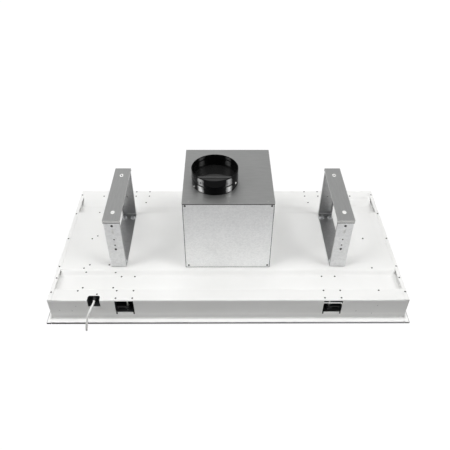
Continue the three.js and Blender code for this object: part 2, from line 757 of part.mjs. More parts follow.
function suctionPanel() {
  const [length, depth] = [2 * panelX, 2 * panelY];
  const face = prism(roundedRectangle(length, depth, 5), 'z', [panelRise, panelRise + panelSheet], 3);
  return join(face,
    ring(length, depth, panelSheet, [panelRise, panelTop], 5),
    ring(length, depth, panelReturn, [panelTop - panelSheet, panelTop], 5));
}

// ---------------------------------------------------------------- panel hinges and catches
const earStart = hingeLug / 2 + 0.5;

// a lug with its pin pressed in
function hingeBracket() {
  const radius = hingeKnuckle;
  const lug = new THREE.Shape();
  lug.moveTo(hingeY - radius, frameHeight);
  lug.lineTo(hingeY - radius, hingeLevel);
  lug.absarc(hingeY, hingeLevel, radius, Math.PI, 2 * Math.PI);
  lug.lineTo(hingeY + radius, frameHeight);
  const pin = rod(hingePin, span(0, 2 * (earStart + hingeEar) + 2), 12, 'x',
    [0, hingeY, hingeLevel]);
  return join(prism(lug, 'x', span(0, hingeLug), 8), pin);
}

function hingeArm() {
  const foot = panelTop + gap;
  const ear = new THREE.Shape();
  ear.moveTo(hingeY - hingeArmLength, foot);
  ear.lineTo(hingeY - 2, foot);
  ear.absarc(hingeY, hingeLevel, hingeKnuckle, -Math.PI / 2, Math.PI * 0.9);
  ear.lineTo(hingeY - hingeArmLength, foot + 3);
  const ears = both((side) => prism(ear, 'x', sided(side, earStart, earStart + hingeEar), 8));
  const plate = block(span(0, 2 * (earStart + 9)), [hingeY - hingeArmLength, hingeY + 2],
    [foot, foot + 1.5]);
  const bore = rod(hingePin + gap, span(0, 4 * (earStart + hingeEar)), 12, 'x',
    [0, hingeY, hingeLevel]);
  return cut(join(plate, ...ears), bore);
}

function panelCatch() {
  const y = -panelY + 12;
  const magnet = block(span(0, catchWidth), span(y, 14), [panelTop + gap, frameHeight]);
  const slot = block(span(0, catchWidth + 2), span(y, 4), [panelTop, panelTop + 3]);
  return cut(magnet, slot);
}

// ---------------------------------------------------------------- LED bars
function ledBar(side) {
  const outer = openingX - gap;
  const levels = [ledBarLevel, ledBarLevel + ledBarHeight];
  const shell = block(sided(side, outer - ledBarWidth, outer), span(0, ledBarLength), levels);
  const room = block(sided(side, outer - ledBarWidth + ledBarSheet, outer - ledBarSheet),
    span(0, ledBarLength + 2), [ledBarLevel - 1, levels[1] - ledBarSheet]);
  return cut(shell, room);
}

function ledDiffuser(side) {
  const outer = openingX - gap;
  const inset = ledBarSheet + gap;
  return block(sided(side, outer - ledBarWidth + inset, outer - inset), span(0, ledBarLength),
    [ledBarLevel, ledBarLevel + diffuserHeight]);
}

// ---------------------------------------------------------------- ceiling clamps
const clampFloor = clampLow + clampWall;
const sleeveLow = clampFloor + gap;
const clawLow = sleeveLow + 2 + gap;

function clampHousing(side, face) {
  const mouth = wallInside - gap - clampY;
  const outer = block(sided(side, -clampInner, clampOuter),
    sided(face, mouth - clampDepth, mouth), [clampLow, underTop]);
  const room = block(sided(side, -clampInner + clampWall, clampOuter - clampWall),
    sided(face, mouth - clampDepth + clampWall, mouth + 1), [clampFloor, underTop - clampWall]);
  const bend = block(sided(side, -clampInner - 1, clampOuter + 1),
    sided(face, mouth - casingBend, mouth + 1), [cornerTop, underTop + 1]);
  return cut(outer, room, bend, rod(clampScrew + gap, [clampLow - 1, underTop + 1], 12));
}

function clampScrewRod() {
  const head = rod(clampHead, [clampLow - gap - clampHeadHeight, clampLow - gap], 6);
  return join(head, rod(clampScrew, [clampLow - gap - 1, underTop - 1], 12));
}

function clampNut() {
  const bore = clampScrew + gap;
  const profile = [
    [bore, sleeveLow], [clampSleeveFlange, sleeveLow], [clampSleeveFlange, sleeveLow + 2],
    [clampSleeve, sleeveLow + 2], [clampSleeve, sleeveLow + clampSleeveHeight],
    [bore, sleeveLow + clampSleeveHeight], [bore, sleeveLow],
  ];
  return turned(profile, 14);
}

function clampClaw(side) {
  const levels = [clawLow, clawLow + clampArmHeight];
  const hub = rod(clampHub, levels, 16);
  const arm = block(sided(side, 0, clampArm), span(0, clampArmWidth), levels);
  const pockets = both((edge) => block(sided(side, clampHub + 3, clampArm - 6),
    sided(edge, 2, clampArmWidth), [clawLow - 1, clawLow + clampArmHeight - 4]));
  return cut(join(hub, arm), ...pockets, rod(clampSleeve + gap, [clawLow - 1, levels[1] + 1], 16));
}

// ---------------------------------------------------------------- electrical boxes
function lidBox([width, depth, height], cx, cy) {
  const base = prism(roundedRectangle(width, depth, 6, cx, cy), 'z', [underTop - height, underTop], 3);
  const lid = prism(roundedRectangle(width + 6, depth + 6, 8, cx, cy), 'z',
    [underTop - height, underTop - height + 8], 3);
  return join(base, lid);
}

// ---------------------------------------------------------------- mains lead
const cordStart = new THREE.Vector3(outletX, -wallInside + pocketDepth - pocketWall - reliefLength
  - 2 * gap, outletLevel);

// out of the outlet, down past the flange's edge, back under it and along the left end
const cordRoute = [
  [-437.5, -290, 93], [-440.5, -301.6, 91.5], [-445, -312.5, 87], [-449, -321.8, 79.8],
  [-452.3, -329, 70.5], [-454.7, -334, 60.5], [-456.9, -338, 50.5], [-458.6, -341, 41],
  [-460.2, -342, 31.6], [-462.4, -339.4, 19.8], [-464.6, -333.8, 11.8], [-467, -325.8, 6.2],
  [-469.5, -314, 3.6], [-471.5, -303, 3.6], [-475.5, -292.5, 3.6], [-482.5, -283.5, 3.6],
  [-492, -277, 3.6], [-503.5, -273.5, 3.6], [-516, -271.5, 3.6], [-528, -268.5, 3.6],
  [-539.5, -263, 3.6], [-549.5, -254.5, 3.6], [-557.5, -243.5, 3.6], [-563.5, -230, 3.6],
  [-567, -210, 3.6], [-569, -180, 3.6], [-570, -120, 3.6], [-570.5, -40, 3.6], [-570, 40, 3.6],
  [-571, 120, 3.6], [-570, 200, 3.6], [-568.5, 260, 3.6], [-566, 300, 3.6], [-564, 330, 3.6],
].map((point) => new THREE.Vector3(...point));

const coilOuter = coilInner + coilPitch;
const coilStart = new THREE.Vector3(coilX - coilOuter, coilY - cordDiameter, cordRadius + 0.1);

function sweep(points, steps, sides) {
  const section = new THREE.Shape();
  for (let i = 0; i < sides; i += 1) {
    const angle = (2 * Math.PI * i) / sides;
    const spot = [cordRadius * Math.cos(angle), cordRadius * Math.sin(angle)];
    if (i === 0) section.moveTo(...spot);
    else section.lineTo(...spot);
  }
  const extrudePath = new THREE.CatmullRomCurve3(points, false, 'centripetal');
  return new THREE.ExtrudeGeometry(section, { steps, extrudePath, bevelEnabled: false });
}

function mainsCord() {
  const end = coilStart.clone().add(new THREE.Vector3(0, -gap, 0));
  const beforeEnd = end.clone().add(new THREE.Vector3(0, -cordDiameter, 0));
  return [cordStart, ...cordRoute, beforeEnd, end];
}

// two layers: in, up in the half turn where the spiral reverses, and out again to the plug
function coilPoints() {
  const perTurn = 24;
  const oneWay = (coilTurns - 0.5) / 2;
  const points = [coilStart];
  for (let i = 0; i <= coilTurns * perTurn; i += 1) {
    const turn = i / perTurn;
    const climb = THREE.MathUtils.clamp((turn - oneWay) / 0.5, 0, 1);
    const inward = Math.min(turn, oneWay) - Math.max(turn - oneWay - 0.5, 0);
    const radius = coilOuter - (coilPitch * inward) / oneWay;
    const angle = Math.PI - 2 * Math.PI * turn;
    points.push(new THREE.Vector3(coilX + radius * Math.cos(angle),
      coilY + radius * Math.sin(angle), coilStart.z + coilPitch * climb));
  }
  return points;
}

// from the coil's end round to the plug's axis
function coilTail() {
  const start = coilPoints().at(-1);
  const centre = new THREE.Vector3(start.x + tailBend, start.y, 0);
  const bend = Array.from({ length: 6 }, (_, i) => {
    const angle = Math.PI + (Math.PI / 2) * ((i + 1) / 6);
    const rise = THREE.MathUtils.smoothstep(i + 1, 0, 6);
    return new THREE.Vector3(centre.x + tailBend * Math.cos(angle),
      centre.y + tailBend * Math.sin(angle),
      THREE.MathUtils.lerp(start.z, plugRadius + 0.1, rise));
  });
  const end = bend.at(-1).clone().add(new THREE.Vector3(cordDiameter + 2, 0, 0));
  return [...bend, end];
}

function plugBody() {
  const tip = coilTail().at(-1);
  const low = gap;
  const shoulder = low + 24;
  const face = shoulder + plugLength;
  const profile = [
    [0, low], [cordRadius + 1, low], [cordRadius + 4, shoulder - 4], [plugRadius - 5, shoulder],
    [plugRadius, shoulder + 6], [plugRadius, face - 2], [plugRadius - 2, face], [0, face],
  ];
  const pins = both((edge) => rod(2.4, [face - 1, face + 19], 10, 'x',
    [tip.x, tip.y + edge * 9.5, tip.z]));
  return join(turned(profile, 28, 'x', tip.toArray()), ...pins);
}

function cordReport() {
  const free = new THREE.CatmullRomCurve3(mainsCord(), false, 'centripetal').getLength();
  const coil = new THREE.CatmullRomCurve3([...coilPoints(), ...coilTail()], false, 'centripetal');
  const spots = coil.getSpacedPoints(900);
  const stride = coil.getLength() / 900;
  const skip = Math.ceil((Math.PI * coilInner) / 2 / stride);
  let least = Infinity;
  for (let i = 0; i < spots.length; i += 1) {
    for (let j = i + skip; j < spots.length; j += 1) {
      least = Math.min(least, spots[i].distanceTo(spots[j]));
    }
  }
  console.log(`lead ${(free + coil.getLength()).toFixed(0)} mm, of which in the coil and its tail `
    + `${coil.getLength().toFixed(0)} mm; least gap of the coil to itself `
    + `${(least - cordDiameter).toFixed(2)} mm`);
}

// ---------------------------------------------------------------- assembly
const endNames = { '-1': 'left', 1: 'right' };
const faceNames = { '-1': 'front', 1: 'back' };

function buildCasing() {
  place('main_cover', mainCover(), whitePaint());
  for (const side of [-1, 1]) place(`end_cap_${endNames[side]}`, endCap(side), whitePaint());
  place('cable_outlet', cableOutlet(), darkPlastic());
  place('strain_relief', strainRelief(), darkPlastic());
  const electricsX = wallX - electricsInset;
  place('terminal_box', lidBox(terminalSize, -electricsX, electricsShift), greyPlastic());
  place('led_driver', lidBox(driverSize, electricsX, electricsShift), greyPlastic());
}

function buildMotorBox() {
  place('motor_box', motorBox(), galvanised());
  place('service_panel', servicePanel(), galvanised());
  place('box_top_plate', topPlate(), galvanised());
  place('blower_scroll', blowerScroll(), galvanised());
  const axle = groupAt(scrollX, 0, scrollZ);
  place('blower_wheel', blowerWheel(), galvanised(), axle);
  place('motor_shaft', motorShaft(), zincSteel(), axle);
  place('blower_motor', blowerMotor(), zincSteel(), axle);
}

function buildCollar() {
  place('duct_collar_base', collarBase(), blackGloss());
  place('duct_collar_ring', collarRing(), blackGloss());
  place('damper_spindle', damperSpindle(), blackPlastic());
  for (const face of [-1, 1]) {
    const spot = groupAt(collarX, collarY, flapHeight, face > 0 ? 0 : Math.PI);
    place(`damper_flap_${faceNames[face]}`, damperFlap(), flapGrey(), spot);
  }
}

function buildBrackets() {
  for (const side of [-1, 1]) {
    const spot = groupAt(side * bracketX, bracketY, plateau + gap);
    place(`bracket_base_${endNames[side]}`, bracketBase(), galvanised(), spot);
    place(`bracket_slider_${endNames[side]}`, bracketSlider(), galvanised(), spot);
    place(`bracket_cap_${endNames[side]}`, bracketCap(), galvanised(), spot);
  }
}

function buildUnderside() {
  place('suction_frame', suctionFrame(), whitePaint());
  place('filter_support', filterSupport(), galvanised());
  const filterNames = ['left', 'middle', 'right'];
  filterPlaces().forEach((x, i) => {
    place(`grease_filter_${filterNames[i]}`, greaseFilter(), aluminium(), groupAt(x, 0, 0));
  });
  place('suction_panel', suctionPanel(), whitePaint());
  for (const side of [-1, 1]) {
    const name = endNames[side];
    const spot = groupAt(side * filterStep / 2, 0, 0);
    place(`hinge_bracket_${name}`, hingeBracket(), zincSteel(), spot);
    place(`hinge_arm_${name}`, hingeArm(), zincSteel(), spot);
    place(`panel_catch_${name}`, panelCatch(), blackPlastic(), spot);
    place(`led_bar_${name}`, ledBar(side), aluminium());
    place(`led_diffuser_${name}`, ledDiffuser(side), opal());
  }
}

function buildClamps() {
  for (const side of [-1, 1]) {
    for (const face of [-1, 1]) {
      const name = `${faceNames[face]}_${endNames[side]}`;
      const spot = groupAt(side * clampX, face * clampY, 0);
      place(`clamp_housing_${name}`, clampHousing(side, face), blackPlastic(), spot);
      place(`clamp_screw_${name}`, clampScrewRod(), zincSteel(), spot);
      place(`clamp_nut_${name}`, clampNut(), zincSteel(), spot);
      place(`clamp_claw_${name}`, clampClaw(side), blackPlastic(), spot);
    }
  }
}

function buildCord() {
  place('mains_cord', solid(sweep(mainsCord(), 76, cordSides)), whiteCable());
  const coil = [...coilPoints(), ...coilTail()];
  place('cord_coil', solid(sweep(coil, coil.length - 1, 6)), whiteCable());
  place('mains_plug', plugBody(), whiteCable());
  cordReport();
}

buildCasing();
buildMotorBox();
buildCollar();
buildBrackets();
buildUnderside();
buildClamps();
buildCord();

export default hood;
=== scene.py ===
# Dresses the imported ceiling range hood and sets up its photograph.  Metres, in the part's own frame.
import json
import math

import bmesh
import bpy
from mathutils import Matrix, Vector
from mathutils.bvhtree import BVHTree


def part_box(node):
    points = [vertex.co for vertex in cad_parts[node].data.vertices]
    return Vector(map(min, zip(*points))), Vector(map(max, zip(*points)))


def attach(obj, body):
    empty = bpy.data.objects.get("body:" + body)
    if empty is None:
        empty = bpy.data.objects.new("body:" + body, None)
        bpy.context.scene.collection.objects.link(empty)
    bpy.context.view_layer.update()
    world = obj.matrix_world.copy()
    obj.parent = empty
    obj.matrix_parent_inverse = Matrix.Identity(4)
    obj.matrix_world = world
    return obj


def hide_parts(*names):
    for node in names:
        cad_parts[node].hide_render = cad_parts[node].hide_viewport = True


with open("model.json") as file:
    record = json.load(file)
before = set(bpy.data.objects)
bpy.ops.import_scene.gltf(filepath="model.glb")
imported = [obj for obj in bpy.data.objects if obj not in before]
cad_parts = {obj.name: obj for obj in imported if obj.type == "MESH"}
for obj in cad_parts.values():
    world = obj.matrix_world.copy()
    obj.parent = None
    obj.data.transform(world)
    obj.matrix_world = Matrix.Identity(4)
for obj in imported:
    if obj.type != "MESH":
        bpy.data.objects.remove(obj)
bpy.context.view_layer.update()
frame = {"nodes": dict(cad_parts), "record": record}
nodes = frame["nodes"]
ROOT = "hood"

# ------------------------------------------------------------------ camera
IMAGE_WIDTH = 450                # pixels
FOCAL_PIXELS = 523.2
SENSOR_MM = 36.0
CAMERA_AT = (-0.0255, -1.4007, 1.3976)
PITCH, YAW, ROLL = 41.11, 0.61, 0.36    # degrees: down, to the right, anticlockwise


def make_camera():
    data = bpy.data.cameras.new("camera")
    data.sensor_width = SENSOR_MM
    data.lens = SENSOR_MM * FOCAL_PIXELS / IMAGE_WIDTH
    camera = bpy.data.objects.new("camera", data)
    bpy.context.collection.objects.link(camera)
    turn = (Matrix.Rotation(math.radians(-YAW), 4, "Z")
            @ Matrix.Rotation(math.radians(90 - PITCH), 4, "X")
            @ Matrix.Rotation(math.radians(ROLL), 4, "Z"))
    camera.matrix_world = Matrix.Translation(CAMERA_AT) @ turn
    bpy.context.scene.camera = camera


# ------------------------------------------------------------------ node trees
def grey(level):
    return (level, level, level)


class Wiring:
    """Short-hands for wiring a node tree."""

    def __init__(self, tree):
        self.tree = tree

    def add(self, kind):
        return self.tree.nodes.new(kind)

    def plug(self, value, socket):
        """Links an output to the socket, or sets the socket to a plain value."""
        if isinstance(value, bpy.types.NodeSocket):
            self.tree.links.new(value, socket)
        else:
            socket.default_value = value

    def math(self, operation, a, b=0.0):
        node = self.add("ShaderNodeMath")
        node.operation = operation
        self.plug(a, node.inputs[0])
        self.plug(b, node.inputs[1])
        return node.outputs["Value"]

    def total(self, first, *others):
        result = first
        for value in others:
            result = self.math("ADD", result, value)
        return result

    def vector_math(self, operation, a, b, result="Vector"):
        node = self.add("ShaderNodeVectorMath")
        node.operation = operation
        self.plug(a, node.inputs[0])
        self.plug(b, node.inputs["Scale"] if operation == "SCALE" else node.inputs[1])
        return node.outputs[result]

    def split(self, vector):
        node = self.add("ShaderNodeSeparateXYZ")
        self.plug(vector, node.inputs["Vector"])
        return node.outputs

    def ramp(self, value, span, ends, shape="LINEAR"):
        """Runs from the first of the ends to the second as the value runs over the span."""
        node = self.add("ShaderNodeMapRange")
        node.interpolation_type = shape
        names = ("Value", "From Min", "From Max", "To Min", "To Max")
        for name, setting in zip(names, (value, *span, *ends)):
            self.plug(setting, node.inputs[name])
        return node.outputs["Result"]


# ------------------------------------------------------------------ materials
NOISE_SPAN = (0.3, 0.7)          # where most values of a noise lie
SPANGLE_SPAN = (0.25, 0.95)      # and most values of the spangle's mixture
WHOLE = (0.0, 1.0)
CELL_WARP = 0.006                # how much noise bends the edges of crystal cells

# Painted shade on the casing: the hem, darker to the left; the fold between walls and flange; the foot
# of the walls; grey lines along the end rims. The flange is painted lighter than the rest of the paint,
# a painted highlight.
HEM_EDGE = (0.0183, 0.0189)      # levels between which the hem's painted shade gives way to paint
HEM_ENDS = (-0.6, 0.6)
HEM_SHADE_GREYS = (grey(0.035), grey(0.34))    # painted shade at these two
FLANGE_EDGE = (0.0204, 0.0207)
FLANGE_LIT_WHITE = (0.95, 0.95, 0.94)
FOLD_SHADE_GREY = (0.45, 0.45, 0.44)
FOLD_REACH = 0.0085              # how far out on the flange the fold's shade goes
WALLS_OUT = (0.585, 0.290)       # the casing's walls from its middle: x, y
WALL_FOOT = (0.0204, 0.040)
WALL_FOOT_SHADE = (0.67, 0.67, 0.66)
END_EDGE = (0.5972, 0.5975)      # the flange's outermost rim at both ends, painted as a grey shade line
END_SHADE_GREY = grey(0.42)

PANEL_TOP_SHADE = 0.76            # share of its colour under the painted shade at the top
PANEL_FADE = (0.38, 0.15)        # levels: painted shade full at the first, gone from the second down
BRACKET_Y = 0.0035               # the brackets' middle
BRACKET_INSIDE_SHADE = 0.66
BRACKET_OUTSIDE = (0.1415, 0.1422)       # from their middle to a leg's inner side and its outside, where the painted shade inside ends
LID_FRONT_SHADE = 0.93
LID_FADE = (-0.14, 0.12)         # y where the painted shade is full and where it ends

COLLAR_AXIS = (-0.0445, -0.0245)
COLLAR_BLACK = (0.003, 0.003, 0.0035)
# The collar's sheens are painted highlights in its colour.
SHEEN_AT = 37.0                  # degrees to either side of the collar's front or back
SHEEN_EDGE = (0.12, 0.26)        # radians from its middle to its full painted highlight and to its black border
SHEEN_RAGGED = 0.16              # of noise in that border
PAINTED_SHEEN_GREY = grey(0.6)
PAINTED_SHEEN_LOW_GREY = grey(0.95)      # on the lower ring
RING_JOINT = (0.4102, 0.4122)    # levels between the two rings
SHEEN_GAPS = (0.3865, 0.4112, 0.4400)    # levels of the edges that stay black
GAP_EDGE = (0.0012, 0.0035)      # from such a level to full black and to full sheen
BORE_BLACK = grey(0.003)
BORE_PAINTED_SHEEN_GREY = grey(0.12)
BORE_GAPS = (0.4265, 0.4410)
BORE_SHEEN_FOOT = (0.404, 0.409)         # levels between which the streaks in the bore set in


class Look(Wiring):
    """A principled material with procedural detail in object space."""

    def __init__(self, name, color, roughness, metallic=0.0, **settings):
        self.material = bpy.data.materials.new(name)
        self.material.use_nodes = True
        super().__init__(self.material.node_tree)
        self.shader = self.tree.nodes["Principled BSDF"]
        self.coordinates = self.add("ShaderNodeTexCoord").outputs["Object"]
        self.shader.inputs["Base Color"].default_value = (*color, 1.0)
        self.shader.inputs["Roughness"].default_value = roughness
        self.shader.inputs["Metallic"].default_value = metallic
        for socket, value in settings.items():
            self.shader.inputs[socket.replace("_", " ")].default_value = value

    def place(self):
        return self.split(self.coordinates)

    def noise(self, scale, detail=2.0, stretch=(1, 1, 1)):
        mapping = self.add("ShaderNodeMapping")
        self.plug(stretch, mapping.inputs["Scale"])
        self.plug(self.coordinates, mapping.inputs["Vector"])
        node = self.add("ShaderNodeTexNoise")
        self.plug(scale, node.inputs["Scale"])
        self.plug(detail, node.inputs["Detail"])
        self.plug(mapping.outputs["Vector"], node.inputs["Vector"])
        return node.outputs["Fac"]

    def cells(self, scale):
        """One random number for each crystal-like cell."""
        warp = self.add("ShaderNodeTexNoise")
        self.plug(0.6 * scale, warp.inputs["Scale"])
        self.plug(self.coordinates, warp.inputs["Vector"])
        mix = self.add("ShaderNodeMix")
        mix.data_type = "VECTOR"
        self.plug(CELL_WARP, mix.inputs["Factor"])
        self.plug(self.coordinates, mix.inputs["A"])
        self.plug(warp.outputs["Color"], mix.inputs["B"])
        node = self.add("ShaderNodeTexVoronoi")
        self.plug(scale, node.inputs["Scale"])
        self.plug(mix.outputs["Result"], node.inputs["Vector"])
        split = self.add("ShaderNodeSeparateColor")
        self.plug(node.outputs["Color"], split.inputs["Color"])
        return split.outputs["Red"]

    def blend(self, factor, span, ends):
        """A colour that runs from one end to the other as the factor runs over the span."""
        node = self.add("ShaderNodeMix")
        node.data_type = "RGBA"
        for name, value in zip("AB", ends):
            self.plug((*value, 1.0) if isinstance(value, tuple) else value, node.inputs[name])
        self.plug(self.ramp(factor, span, WHOLE), node.inputs["Factor"])
        return node.outputs["Result"]

    def color(self, value):
        self.plug(value, self.shader.inputs["Base Color"])

    def roughness(self, factor, span, ends):
        self.plug(self.ramp(factor, span, ends), self.shader.inputs["Roughness"])

    def bump(self, height, distance, strength=1.0):
        node = self.add("ShaderNodeBump")
        self.plug(distance, node.inputs["Distance"])
        self.plug(strength, node.inputs["Strength"])
        self.plug(height, node.inputs["Height"])
        self.plug(node.outputs["Normal"], self.shader.inputs["Normal"])


def powder_coat(name, tones=None):
    """White paint with a faint orange peel; tones may paint shade onto it from place to place."""
    look = Look(name, (0.86, 0.86, 0.845), 0.42)
    paint = look.blend(look.noise(7.0, 3.0), NOISE_SPAN, ((0.845, 0.845, 0.83), (0.88, 0.88, 0.868)))
    look.color(tones(look, paint) if tones else paint)
    look.roughness(look.noise(30.0, 2.0), NOISE_SPAN, (0.38, 0.5))
    look.bump(look.noise(900.0, 1.0), 0.00004)
    return look.material


def painted_casing_shade(look, paint):
    """Painted shade on both sides of the fold between walls and flange, at the walls' foot, along the
    end rims and on the hem, darker to the left; a lighter flange as painted highlight.
    """
    x, y, z = look.place()
    off_centre = [look.math("ABSOLUTE", x), look.math("ABSOLUTE", y)]
    past_walls = [look.math("SUBTRACT", off, wall) for off, wall in zip(off_centre, WALLS_OUT)]
    from_fold = look.math("MAXIMUM", *past_walls)
    flange = look.blend(from_fold, (0.0, FOLD_REACH), (FOLD_SHADE_GREY, FLANGE_LIT_WHITE))
    flange = look.blend(off_centre[0], END_EDGE, (flange, END_SHADE_GREY))
    wall = look.blend(z, WALL_FOOT, (WALL_FOOT_SHADE, paint))
    hem = look.blend(x, HEM_ENDS, HEM_SHADE_GREYS)
    return look.blend(z, HEM_EDGE, (hem, look.blend(z, FLANGE_EDGE, (flange, wall))))


def panel_painted_shade(look):
    """Painted shade at the top of the front panel."""
    return look.ramp(look.place()["Z"], PANEL_FADE, (PANEL_TOP_SHADE, 1.0))


def bracket_painted_shade(look):
    """Painted shade inside the brackets."""
    from_middle = look.math("ABSOLUTE", look.math("SUBTRACT", look.place()["Y"], BRACKET_Y))
    return look.ramp(from_middle, BRACKET_OUTSIDE, (BRACKET_INSIDE_SHADE, 1.0))


def galvanised(name, shades, rough=(0.42, 0.34), crystals=230.0, contrast=0.5, share=None):
    """Zinc spangle: faint crystals over cloudy drawing marks; share may paint shade onto it in places.
    """
    look = Look(name, shades[1], 0.36, 1.0)
    spangle = look.math("MULTIPLY", look.cells(crystals), contrast)
    clouds = look.math("MULTIPLY", look.noise(16.0, 5.0), 0.45)
    grain = look.math("MULTIPLY", look.noise(500.0, 2.0), 0.3)
    tone = look.total(spangle, clouds, grain)
    color = look.blend(tone, SPANGLE_SPAN, shades)
    look.color(look.vector_math("SCALE", color, share(look)) if share else color)
    look.roughness(tone, SPANGLE_SPAN, rough)
    look.bump(tone, 0.00002)
    return look.material


def rolled_steel(name, stretch, shades):
    """Bare sheet with a fine rolled grain, and painted shade towards the front."""
    look = Look(name, shades[1], 0.45, 1.0)
    grain = look.noise(260.0, 3.0, stretch)
    clouds = look.math("MULTIPLY", look.noise(9.0, 4.0), 0.55)
    tone = look.total(look.math("MULTIPLY", grain, 0.45), clouds)
    share = look.ramp(look.place()["Y"], LID_FADE, (LID_FRONT_SHADE, 1.0))
    look.color(look.vector_math("SCALE", look.blend(tone, NOISE_SPAN, shades), share))
    look.roughness(tone, NOISE_SPAN, (0.5, 0.42))
    look.bump(grain, 0.00002)
    return look.material


def zinc_steel():
    look = Look("zinc_steel", (0.62, 0.62, 0.60), 0.3, 1.0)
    look.color(look.blend(look.noise(160.0, 3.0), NOISE_SPAN, ((0.5, 0.5, 0.47), (0.72, 0.72, 0.7))))
    look.roughness(look.noise(300.0, 2.0), NOISE_SPAN, (0.22, 0.42))
    return look.material


def screw_steel():
    look = Look("screw_steel", grey(0.06), 0.45, 0.6)
    shades = (grey(0.035), grey(0.08))
    look.color(look.blend(look.noise(700.0, 2.0), NOISE_SPAN, shades))
    return look.material


def painted_highlight_streaks(look, facing, gaps):
    """Two upright streaks of painted highlight beside the collar's front (-1) or back (1), broken at
    the gaps' levels.
    """
    from_axis = look.vector_math("SUBTRACT", look.coordinates, (*COLLAR_AXIS, 0.0))
    across, behind, level = look.split(from_axis)
    angle = look.math("ARCTAN2", look.math("ABSOLUTE", across), look.math("MULTIPLY", behind, facing))
    away = look.math("ABSOLUTE", look.math("SUBTRACT", angle, math.radians(SHEEN_AT)))
    ragged = look.total(away, look.math("MULTIPLY", look.noise(70.0, 3.0), SHEEN_RAGGED))
    painted_sheen = look.ramp(ragged, SHEEN_EDGE, (1.0, 0.0))
    for edge in gaps:
        off_edge = look.math("ABSOLUTE", look.math("SUBTRACT", level, edge))
        painted_sheen = look.math("MULTIPLY", painted_sheen, look.ramp(off_edge, GAP_EDGE, WHOLE))
    return painted_sheen, level


def collar_black():
    """Black enamel with two painted highlights, upright sheens, on the front of each ring."""
    look = Look("collar_black", COLLAR_BLACK, 0.14, Specular_IOR_Level=0.1)
    painted_sheen, level = painted_highlight_streaks(look, -1.0, SHEEN_GAPS)
    sheen = look.blend(level, RING_JOINT, (PAINTED_SHEEN_LOW_GREY, PAINTED_SHEEN_GREY))
    look.color(look.blend(painted_sheen, WHOLE, (COLLAR_BLACK, sheen)))
    look.roughness(look.noise(60.0, 3.0), NOISE_SPAN, (0.1, 0.18))
    look.bump(look.noise(28.0, 2.0), 0.0002, 0.3)
    return look.material


def bore_black():
    """The same enamel inside, with fainter painted highlights at the back."""
    look = Look("bore_black", BORE_BLACK, 0.3, Specular_IOR_Level=0.1)
    painted_sheen, level = painted_highlight_streaks(look, 1.0, BORE_GAPS)
    painted_sheen = look.math("MULTIPLY", painted_sheen, look.ramp(level, BORE_SHEEN_FOOT, WHOLE))
    look.color(look.blend(painted_sheen, WHOLE, (BORE_BLACK, BORE_PAINTED_SHEEN_GREY)))
    look.roughness(look.noise(200.0, 2.0), NOISE_SPAN, (0.23, 0.38))
    return look.material


def flap_plastic():
    look = Look("flap_plastic", grey(0.012), 0.07, Specular_IOR_Level=1.0)
    look.roughness(look.noise(80.0, 3.0), NOISE_SPAN, (0.05, 0.1))
    look.bump(look.noise(20.0, 2.0), 0.0001, 0.3)
    return look.material


def moulded(name, color, roughness):
    """Moulded plastic: a fine eroded surface with a slight drift of colour."""
    look = Look(name, color, roughness)
    shades = [tuple(share * part for part in color) for share in (0.88, 1.1)]
    look.color(look.blend(look.noise(25.0, 3.0), NOISE_SPAN, shades))
    look.roughness(look.noise(200.0, 2.0), NOISE_SPAN, (roughness - 0.07, roughness + 0.08))
    look.bump(look.noise(1500.0, 1.0), 0.00003)
    return look.material


def cable_white():
    look = Look("cable_white", (0.84, 0.84, 0.82), 0.4, Specular_IOR_Level=0.45)
    look.color(look.blend(look.noise(60.0, 2.0), NOISE_SPAN, ((0.81, 0.81, 0.79), (0.86, 0.86, 0.845))))
    look.bump(look.noise(350.0, 2.0), 0.00004)
    return look.material


def aluminium():
    look = Look("aluminium", (0.72, 0.73, 0.74), 0.34, 1.0)
    brushed = look.noise(300.0, 2.0, (1.0, 0.08, 1.0))
    look.color(look.blend(brushed, NOISE_SPAN, ((0.62, 0.63, 0.64), (0.8, 0.81, 0.82))))
    look.roughness(brushed, NOISE_SPAN, (0.26, 0.44))
    return look.material


def opal():
    look = Look("opal", (0.88, 0.88, 0.85), 0.3, Subsurface_Weight=0.2, Subsurface_Scale=0.004)
    look.roughness(look.noise(80.0, 2.0), NOISE_SPAN, (0.25, 0.38))
    return look.material


looks = {
    "white_paint": powder_coat("white_paint"),
    "casing_paint_shaded": powder_coat("casing_paint_shaded", painted_casing_shade),
    "galvanised": galvanised("galvanised", ((0.74, 0.745, 0.75), (0.86, 0.865, 0.865))),
    "panel_steel": galvanised("panel_steel", ((0.82, 0.825, 0.83), (0.94, 0.945, 0.945)),
                              share=panel_painted_shade),
    "bracket_steel": galvanised("bracket_steel", ((0.66, 0.665, 0.67), (0.84, 0.845, 0.85)),
                                (0.4, 0.3), 150.0, 0.3, bracket_painted_shade),
    "cap_steel": rolled_steel("cap_steel", (1.0, 0.08, 1.0), ((0.5, 0.505, 0.5), (0.6, 0.605, 0.6))),
    "lid_steel": rolled_steel("lid_steel", (0.08, 1.0, 1.0),
                              ((0.46, 0.465, 0.46), (0.56, 0.565, 0.56))),
    "zinc_steel": zinc_steel(),
    "collar_black": collar_black(),
    "flap_plastic": flap_plastic(),
    "black_plastic": moulded("black_plastic", (0.018, 0.018, 0.019), 0.45),
    "dark_plastic": moulded("dark_plastic", (0.02, 0.021, 0.023), 0.5),
    "grey_plastic": moulded("grey_plastic", (0.22, 0.225, 0.23), 0.5),
    "aluminium": aluminium(),
    "opal": opal(),
    "cable_white": cable_white(),
    "screw_steel": screw_steel(),
    "bright_edge": moulded("bright_edge", (0.86, 0.86, 0.84), 0.35),
    "bore_black": bore_black(),
}
